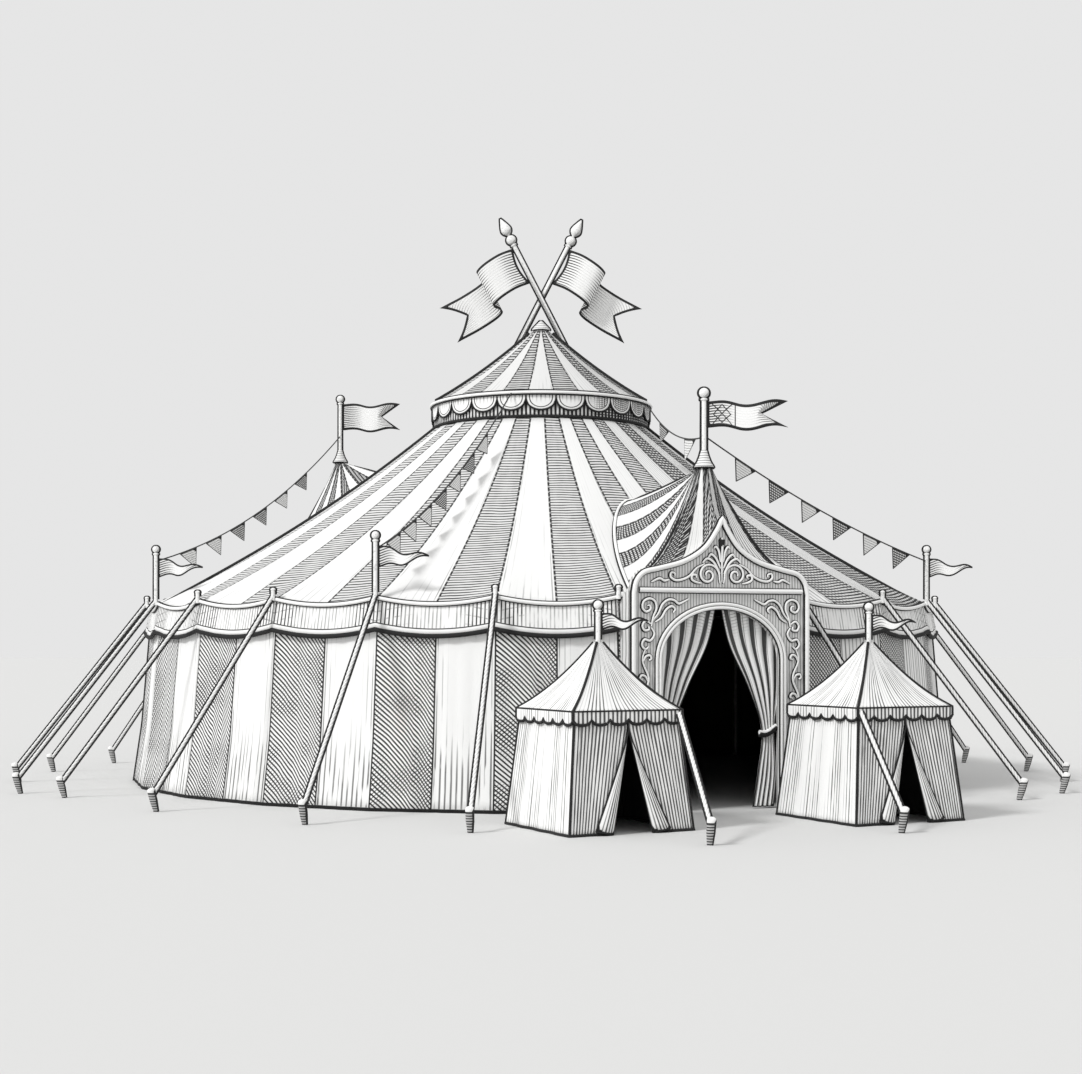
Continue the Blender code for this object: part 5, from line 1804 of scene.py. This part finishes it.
def side_board(side, word):
    """The board that closes one side of the portal, back to the wall."""
    foot = [portal_point(side * along, out, 0) for along, out, height in SIDE_BOARD]
    head = [portal_point(side * along, out, height) for along, out, height in SIDE_BOARD]
    walls = [(edge, edge + 4, (edge + 1) % 4 + 4, (edge + 1) % 4) for edge in range(4)]
    faces = [face[::-side] for face in ((0, 1, 2, 3), (7, 6, 5, 4), *walls)]
    name = "portal_side_" + word
    dress(link(name, meshed(name, foot + head, [], faces)), board_ground, "carved_board", "portal_board")


board_ground = board_finish()
front_board()
for side, word in SIDES:
    side_board(side, word)

# %% The mouldings: pale rolls between dark lines
ROLL_PROUD = 0.45
MOULDING_SHARE = 0.9755


def on_face(runs, stand_off):
    return [[portal_point(along, PORTAL_FACE + stand_off, height) for along, height in run] for run in runs]


def face_roll(name, runs, radius, line, nodes, thick=None):
    """A half-sunk pale roll along each run on the board, with a dark line along both its sides."""
    proud = on_face(runs, line + radius * ROLL_PROUD)
    swept_piece(name, proud, pale_roll, nodes, radius, 10, thick=thick)
    ink_piece(name + "_line", on_face(runs, 0.0), radius + line, nodes, 10, thick)


side_run = PORTAL_HALF_WIDTH * MOULDING_SHARE
gable_run = [(along * MOULDING_SHARE, height - 0.05) for along, height in gable_edge]
for height in (3.9, 2.0, 0.02):
    gable_run = [(-side_run, height), *gable_run, (side_run, height)]
face_roll("gable_roll", [gable_run], 0.046, 0.018, ["gable_moulding"])
crossbar_run = [(along, 4.085) for along in (-1.68, -0.8, 0, 0.8, 1.68)]
face_roll("crossbar_roll", [crossbar_run], 0.044, 0.018, ["portal_crossbar"])
face_roll("arch_roll", [arch_path(0.034), arch_path(0.102)], 0.030, 0.014, ["arch_moulding"])

# %% The carved scrolls
CENTRE_STEM = [(0.0, 4.24), (0.0, 4.50), (0.0, 4.78), (0.0, 5.08)]
SCROLLS = [
    [(0.03, 4.62), (0.06, 4.80), (0.12, 4.90), (0.17, 4.87)],
    [(0.03, 4.50), (0.12, 4.68), (0.22, 4.76), (0.28, 4.70)],
    [(0.04, 4.40), (0.16, 4.60), (0.30, 4.68), (0.40, 4.60)],
    [(0.36, 4.58), (0.52, 4.50), (0.66, 4.36), (0.80, 4.29), (0.95, 4.27), (1.05, 4.33), (1.04, 4.41),
     (0.97, 4.40), (0.96, 4.35)],
    [(0.42, 4.22), (0.53, 4.24), (0.62, 4.29), (0.61, 4.37), (0.53, 4.37), (0.53, 4.32)],
    [(1.08, 4.28), (1.18, 4.26), (1.28, 4.30), (1.44, 4.23)],
    [(1.44, 3.42), (1.40, 3.60), (1.34, 3.74), (1.36, 3.87), (1.47, 3.93), (1.59, 3.88), (1.62, 3.77),
     (1.55, 3.69), (1.46, 3.73), (1.47, 3.80), (1.52, 3.80)],
    [(1.42, 3.52), (1.30, 3.66), (1.22, 3.82), (1.10, 3.91), (0.98, 3.90), (0.89, 3.84), (0.80, 3.87),
     (0.68, 3.93)],
    [(1.36, 3.50), (1.24, 3.58), (1.15, 3.72), (1.04, 3.79), (0.96, 3.74), (1.00, 3.67)],
    [(1.44, 3.46), (1.55, 3.52), (1.62, 3.44), (1.58, 3.35), (1.49, 3.36), (1.49, 3.42)],
    [(1.44, 3.40), (1.38, 3.28), (1.46, 3.16), (1.58, 3.18), (1.63, 3.08), (1.56, 3.00), (1.49, 3.05)],
]
VOLUTE_START = [(0.035, 4.22), (0.05, 4.30)]
VOLUTE_CENTRE = (0.285, 4.375)
VINE_LOW = 0.45
VINE_HIGH = 3.0
VINE_MIDDLE = 1.555
VINE_SWAY = 0.062
VINE_BENDS = 7


def carved(knots):
    return [tuple(point) for point in smooth_path(knots, 6)]


def volute(big, small, turns, start_angle):
    """A spiral that winds inwards, as (along, height) pairs."""
    pairs = []
    for share in spread(0, 1, 40):
        angle = radians(start_angle) + 2 * pi * turns * share
        size = mix(big, small, share**0.8)
        pairs.append((VOLUTE_CENTRE[0] + size * cos(angle), VOLUTE_CENTRE[1] + size * sin(angle)))
    return pairs


def leaf(bend):
    """A curled leaf at one bend of the vine, to the right and to the left in turn."""
    height = mix(VINE_LOW, VINE_HIGH, (bend + 0.5) / VINE_BENDS)
    side = -1 if bend % 2 else 1
    root = VINE_MIDDLE + VINE_SWAY * side * 0.9
    curl = ((0, -0.05), (0.06, 0.05), (0.14, 0.07), (0.17, 0.01), (0.12, -0.02))
    return [(root - side * along, height + rise) for along, rise in curl]


right_half = [carved(knots) for knots in [*SCROLLS, *[leaf(bend) for bend in range(VINE_BENDS)]]]
right_half.append([*VOLUTE_START, *volute(0.24, 0.035, -1.6, 192)])
right_half.append([
    (VINE_MIDDLE + VINE_SWAY * sin(pi * VINE_BENDS * share), mix(VINE_LOW, VINE_HIGH, share))
    for share in spread(0, 1, 60)
])
scroll_runs = right_half + [mirrored(run) for run in right_half]
scroll_thick = []
for run in scroll_runs:
    scroll_thick.append([0.55 + 0.6 * sin(pi * share) ** 0.6 for share in spread(0, 1, len(run) - 1)])
stem = carved(CENTRE_STEM)
scroll_runs.append(stem)
scroll_thick.append([*[mix(0.5, 2.0, share**1.5) for share in spread(0, 1, len(stem) - 1)[:-1]], 0.3])
face_roll("carved_scrolls", scroll_runs, 0.021, 0.015, ["portal_board"], scroll_thick)
print("carved scrolls:", len(scroll_runs), "runs")

# %% [markdown]
# ## The door curtains
# Each curtain hangs in deep folds behind the arch, and a band gathers it to the jamb at about the
# height of a hand. Above the band the folds fan out, and below it they fall straight.

# %% Curtain cloth, with painted shade inked in its folds
def curtain_finish():
    paint = Paint("curtain_cloth")
    across, climb = paint.cloth()
    depth = paint.attribute("fold") + paint.stretched_noise(4.0, across * 2.0, climb * 0.4) * 0.24
    # Painted shade: ink in the deep valleys of the folds, and fine lines where the folds lie deeper.
    fold_valley_shade = (depth - 0.12).ramp(0.62, 0.72)
    fine = lines(across * 5 + paint.noise(1.0) * 0.15, 0.18) * depth.ramp(0.3, 0.55)
    head = climb.ramp(3.2, 3.8) * lines(climb / 0.06, 0.25) * 0.5
    ink = either(fold_valley_shade * 0.93, fine * 0.8, head, paint.attribute("edge").fall(0.016, 0.024))
    return paint.finish(ink, 0.87, 0.85, 60.0)


# %% The two curtains and their bands
CURTAIN_LEVELS = [
    (3.86, 0.03, 1.38), (3.1, 0.22, 1.34), (2.3, 0.62, 1.30), (1.47, 0.92, 1.20), (0.7, 0.84, 1.24),
    (0.03, 0.72, 1.18),
]
CURTAIN_FOLDS = 5
CURTAIN_COLUMNS = 84
CURTAIN_CLEAR = 0.012
FOLD_DEPTH = 0.06
BAND_KNOTS = [(0.86, 1.44, 0.0), (0.98, 1.43, 0.02), (1.10, 1.48, 0.02), (1.22, 1.56, 0.0)]
curtain_cloth = curtain_finish()


def door_curtain(side, word):
    """One curtain in deep folds, and the band that ties it to the jamb."""
    shares = spread(0, 1, CURTAIN_COLUMNS)
    rows, folds = [], []
    for height, near_edge, far_edge in smooth_path(CURTAIN_LEVELS, 9):
        row = []
        for share in shares if side == 1 else reversed(shares):
            fold = 0.5 - 0.5 * cos(2 * pi * CURTAIN_FOLDS * share + 0.6 * sin(height * 1.7 + share * 5))
            along = side * mix(near_edge, far_edge, share)
            row.append(portal_point(along, PORTAL_BACK - CURTAIN_CLEAR - FOLD_DEPTH * fold, height))
            folds.append(fold)
        rows.append(row)
    node = "curtain_" + word
    turns = [CURTAIN_FOLDS * share for share in shares]
    curtain = edged_cloth(node + "_cloth", rows, turns, curtain_cloth, "curtain_cloth", node)
    note(curtain, "fold", folds)
    band = [portal_point(side * along, PORTAL_BACK - 0.002 + out * 0.2, height)
            for along, height, out in smooth_path(BAND_KNOTS, 4)]
    tie = rolled_trim(node + "_band", [band], downwards, radius=0.042, line=0.014)


for side, word in SIDES:
    door_curtain(side, word)

# %% [markdown]
# ## The two booths
# A booth is a square tent on one pole. Its roof is one cloth that hangs over the eaves in a row of
# scallops, and its walls are one cloth with the ends turned back at the doorway.

# %% Booth measures
BOOTH_TURN = 27.0
BOOTH_BASE = 2.35
BOOTH_EAVE = 1.97
BOOTH_WALL_TOP = 1.94
BOOTH_PEAK = 3.12
BOOTH_EAVE_HEIGHT = 2.0
BOOTH_SKIRT_HALF = 1.029
BOOTH_TOP_HALF = 0.06
BOOTH_POLE_TOP = 3.83
SIDE_STEPS = 36
ROUND_STEPS = 4 * SIDE_STEPS
HALF_STEPS = SIDE_STEPS // 2
BOOTH_ROWS = 16
SKIRT_ROWS = 5
SKIRT_SCALLOPS = 6
FLAP_ROWS = 14
FLAP_STEPS = 8
FLAP_WIDTH = 0.34
FLAP_THICK = 0.006
SKIRT_LOW = 1.86
SKIRT_DROP = 0.08
BOOTH_SAG = 0.45
SLIT_HALF = 0.42
FLAP_TOP = 1.70
booth_along = Vector((cos(radians(BOOTH_TURN)), sin(radians(BOOTH_TURN)), 0))
booth_across = Vector((-booth_along.y, booth_along.x, 0))
BOOTH_SIDES = [
    (booth_along, -booth_across), (booth_across, booth_along), (-booth_along, booth_across),
    (-booth_across, -booth_along),
]


def slit_half(height):
    """Half the width of the doorway at a height."""
    return max(0.0, SLIT_HALF * (1 - (height + 0.2) / 1.92))


def wall_half(height):
    """Half the width of a booth's wall at a height."""
    return mix(BOOTH_BASE, BOOTH_EAVE, height / BOOTH_WALL_TOP) / 2


# %% Booth cloths: fine lines on the shaded sides, few on the lit one
def booth_finish(name, count, corner_and_head_ink):
    paint = Paint(name)
    across, climb = paint.cloth()
    shade = paint.shade(0.25, 0.75)
    streak = paint.stretched_noise(5.0, across * 4.0, climb * 0.35)
    band = paint.stretched_noise(1.0, across * 7.0, climb * 0.12).ramp(0.42, 0.52)
    share = 0.24 + shade * 0.22 + (streak - 0.5) * 0.7
    fine = lines(across * count + paint.noise(0.7) * 0.4, share) * (band + shade).held()
    # Close lines just past each corner, more of them higher up.
    after_corner = (across + 0.5).fraction().fall(0.02, 0.26)
    deep_place = after_corner * climb.ramp(0.5, 1.5) * streak.ramp(0.45, 0.6)
    deep = lines(across * count / 2, 0.34) * deep_place * corner_and_head_ink
    # Painted shadow: close lines at the wall's head, under the roof's skirt.
    head = climb.ramp(1.62, 1.8) * lines(across * count, 0.4) * corner_and_head_ink
    ink = either(fine * 0.92, deep, head * 0.7, paint.attribute("edge").fall(0.014, 0.02))
    return paint.finish(ink, 0.87, 0.84, 60.0)


booth_roof_cloth = booth_finish("booth_roof_cloth", 26, 0.0)
booth_wall_cloth = booth_finish("booth_wall_cloth", 30, 0.6)
flap_cloth = booth_finish("booth_flap_cloth", 14, 0.0)


# %% Rows of a booth's roof, its walls and its flaps
def booth_point(centre, step, half, height):
    """A point of a square of this half width, a number of steps round it from its first corner."""
    run, out = BOOTH_SIDES[step // SIDE_STEPS]
    return centre + out * half + run * half * (step % SIDE_STEPS * 2 / SIDE_STEPS - 1) + up * height


def booth_roof_rows(centre):
    rows = []
    for share in spread(0, 1, BOOTH_ROWS):
        height = mix(BOOTH_PEAK, BOOTH_EAVE_HEIGHT, share) - BOOTH_SAG * share * (1 - share)
        half = mix(BOOTH_TOP_HALF, BOOTH_SKIRT_HALF, share)
        rows.append([booth_point(centre, step, half, height) for step in range(ROUND_STEPS)])
    for share in spread(0, 1, SKIRT_ROWS)[1:]:
        points = []
        for step in range(ROUND_STEPS):
            place = step % SIDE_STEPS * SKIRT_SCALLOPS / SIDE_STEPS
            low = SKIRT_LOW - SKIRT_DROP * sqrt(max(0.0, 1 - (2 * (place - int(place)) - 1) ** 2))
            half = BOOTH_SKIRT_HALF + 0.006 * sin(2 * pi * place) * share
            points.append(booth_point(centre, step, half, mix(BOOTH_EAVE_HEIGHT, low, share)))
        rows.append(points)
    return rows


def wall_place(step, half, height):
    """How far along its side of the wall a point lies, from -1 to 1; the cloth's ends meet the doorway."""
    slit = slit_half(height) / half
    if step < HALF_STEPS:
        return mix(slit, 1, step / HALF_STEPS)
    if step > ROUND_STEPS - HALF_STEPS:
        return -mix(slit, 1, (ROUND_STEPS - step) / HALF_STEPS)
    return (step + HALF_STEPS) % SIDE_STEPS * 2 / SIDE_STEPS - 1


def booth_wall_rows(centre):
    """Rows of the wall from its top, starting and ending at the doorway in the middle of the first side."""
    rows = []
    for share in spread(0, 1, BOOTH_ROWS):
        height = BOOTH_WALL_TOP * (1 - share)
        half = wall_half(height) - 0.008
        points = []
        for step in range(ROUND_STEPS + 1):
            run, out = BOOTH_SIDES[(step + HALF_STEPS) // SIDE_STEPS % 4]
            along = wall_place(step, half, height)
            fold = 0.014 * sin(3.5 * pi * along) * (1 - abs(along) ** 6)
            points.append(centre + out * (half + fold) + run * half * along + up * height)
        rows.append(points)
    return rows


def flap_rows(centre, side):
    """The turned-back edge of the doorway on one side, standing a little off the wall."""
    run, out = BOOTH_SIDES[0]
    rows = []
    for down in spread(0, 1, FLAP_ROWS):
        height = mix(FLAP_TOP, 0.02, down)
        points = []
        for share in spread(0, 1, FLAP_STEPS):
            stand = 0.014 + 0.06 * sin(pi * share) * down + 0.01 * share
            along = slit_half(height) + FLAP_WIDTH * down**1.2 * share - 0.012
            spot = centre + out * (wall_half(height) + stand) + run * side * along
            points.append(spot + up * (height + 0.05 * share * down))
        rows.append(points if side == 1 else points[::-1])
    return rows


# %% A booth: its roof, walls, flaps, pole, pennant and guy
booth_turns = [step / SIDE_STEPS for step in range(ROUND_STEPS + 1)]


def booth_roof(name, centre, node):
    rows = booth_roof_rows(centre)
    roof = lined_canvas(name + "_roof_cloth", rows, booth_turns, booth_roof_cloth, node, closed=True)
    note(roof, "edge", [1.0] * len(roof.data.vertices))
    hips = [[row[side * SIDE_STEPS] + up * 0.004 for row in rows] for side in range(4)]
    eave = [point + up * 0.004 for point in rows[BOOTH_ROWS]]
    bindings = [
        ink_piece(name + "_hips", hips, 0.025, [node]),
        ink_piece(name + "_eave", [closed(eave)], 0.016, [node]),
        ink_piece(name + "_hem", [closed(rows[-1])], 0.028, [node]),
    ]
    pole = name + "_pole_wood"
    return roof


def booth_walls(name, centre, node):
    rows = booth_wall_rows(centre)
    wall = lined_canvas(name + "_wall_cloth", rows, booth_turns, booth_wall_cloth, node)
    note(wall, "edge", edge_distance(rows))
    corners = [[row[HALF_STEPS + turn * SIDE_STEPS] for row in rows] for turn in range(4)]
    bindings = [
        ink_piece(name + "_corners", corners, 0.024, [node]),
        ink_piece(name + "_foot", [[point + up * 0.02 for point in rows[-1]]], 0.03, [node]),
    ]
    return wall


def booth_flap(name, centre, side, word, node):
    rows = flap_rows(centre, side)
    turns = [step / 20 for step in range(FLAP_STEPS + 1)]
    flap = edged_cloth(f"{name}_flap_{word}", rows, turns, flap_cloth, "striped_canvas", node, FLAP_THICK)
    outer = [row[-1 if side == 1 else 0] for row in rows]
    rim = [*outer, *rows[-1][::-side]][:-1]
    binding = ink_piece(f"{name}_flap_line_{word}", [rim], 0.014, [node])


def booth(name, centre, guy_side, guy_end):
    roof = booth_roof(name, centre, name + "_roof")
    wall = booth_walls(name, centre, name + "_walls")
    for side, word in SIDES:
        booth_flap(name, centre, side, word, name + "_walls")

    head = pole_head(PEG_RADIUS, 0.06, BOOTH_POLE_TOP, (0.19, 0.18, 0.165, 0.155), 0.078, 0.075)
    pole = name + "_pole_wood"
    node = name + "_pole"
    turned(pole, centre, [(PEG_RADIUS, 0.0), *head], painted_pole, "painted_wood", [node])
    outline = profile_edge(centre, [(PEG_RADIUS, BOOTH_PEAK + 0.05), *head])
    ink_piece(name + "_pole_edge", [outline], 0.021, [node])
    hoist = centre + PEG_CLEAR + up * (BOOTH_PEAK + 0.2)
    pennant = name + "_pennant"
    streaming(name + "_streamer", hoist, (0.8, 0.3), pennant, pennant_lines, tip=0.08, wave=0.05)

    run, out = BOOTH_SIDES[0]
    top = centre + run * guy_side * (BOOTH_SKIRT_HALF - 0.06) + out * BOOTH_SKIRT_HALF
    top += up * (BOOTH_EAVE_HEIGHT - 0.06)
    runs, turns = guy_runs([(top, guy_end)], 80)
    guys(name + "_rope", runs, [name + "_guy"])
    stakes(name + "_stake", [guy_end], turns, [name + "_guy"])


# %% The two booths on their ground
BOOTHS = (
    ("booth_1", (0.45, -13.2, 0), 1, (2.6, -14.2, 0)),
    ("booth_2", (5.33, -11.57, 0), -1, (5.9, -12.5, 0)),
)
half_diagonal = (booth_along + booth_across) * BOOTH_BASE / 2
for name, near_corner, guy_side, stake in BOOTHS:
    booth(name, Vector(near_corner) + half_diagonal, guy_side, Vector(stake))
print("booths stand", round(2 * BOOTH_SKIRT_HALF, 2), "m wide at the eave")

# %% [markdown]
# ## The floor and the light
# The drawing stands on blank paper. A plain floor and an even grey sky give that paper, and one broad
# sun from the left adds a faint shade on the right-hand sides, where the engraver has most lines.

# %% The floor, the light and the end
FLOOR_HALF = 400
FLOOR_PAPER = 0.648
SKY_GREY = 0.79
SUN_POWER = 2.0
SUN_SPREAD = radians(12)
SUN_WAY = Vector((0.66, 0.52, -0.72))
floor_corners = [(-1, -1), (1, -1), (1, 1), (-1, 1)]
floor_points = [(east * FLOOR_HALF, north * FLOOR_HALF, 0) for east, north in floor_corners]
floor = link("ground", meshed("ground", floor_points, [], [(0, 1, 2, 3)]))
floor.data.materials.append(Paint("ground").finish(0.0, FLOOR_PAPER, 1.0))

world = bpy.data.worlds.new("studio")
world.use_nodes = True
world.node_tree.nodes["Background"].inputs["Color"].default_value = (SKY_GREY, SKY_GREY, SKY_GREY, 1)
bpy.context.scene.world = world
bpy.context.scene.view_settings.view_transform = "Standard"
sun_data = bpy.data.lights.new("window", "SUN")
sun_data.energy = SUN_POWER
sun_data.angle = SUN_SPREAD
sun = link("window", sun_data)
sun.rotation_euler = SUN_WAY.to_track_quat("-Z", "Y").to_euler()
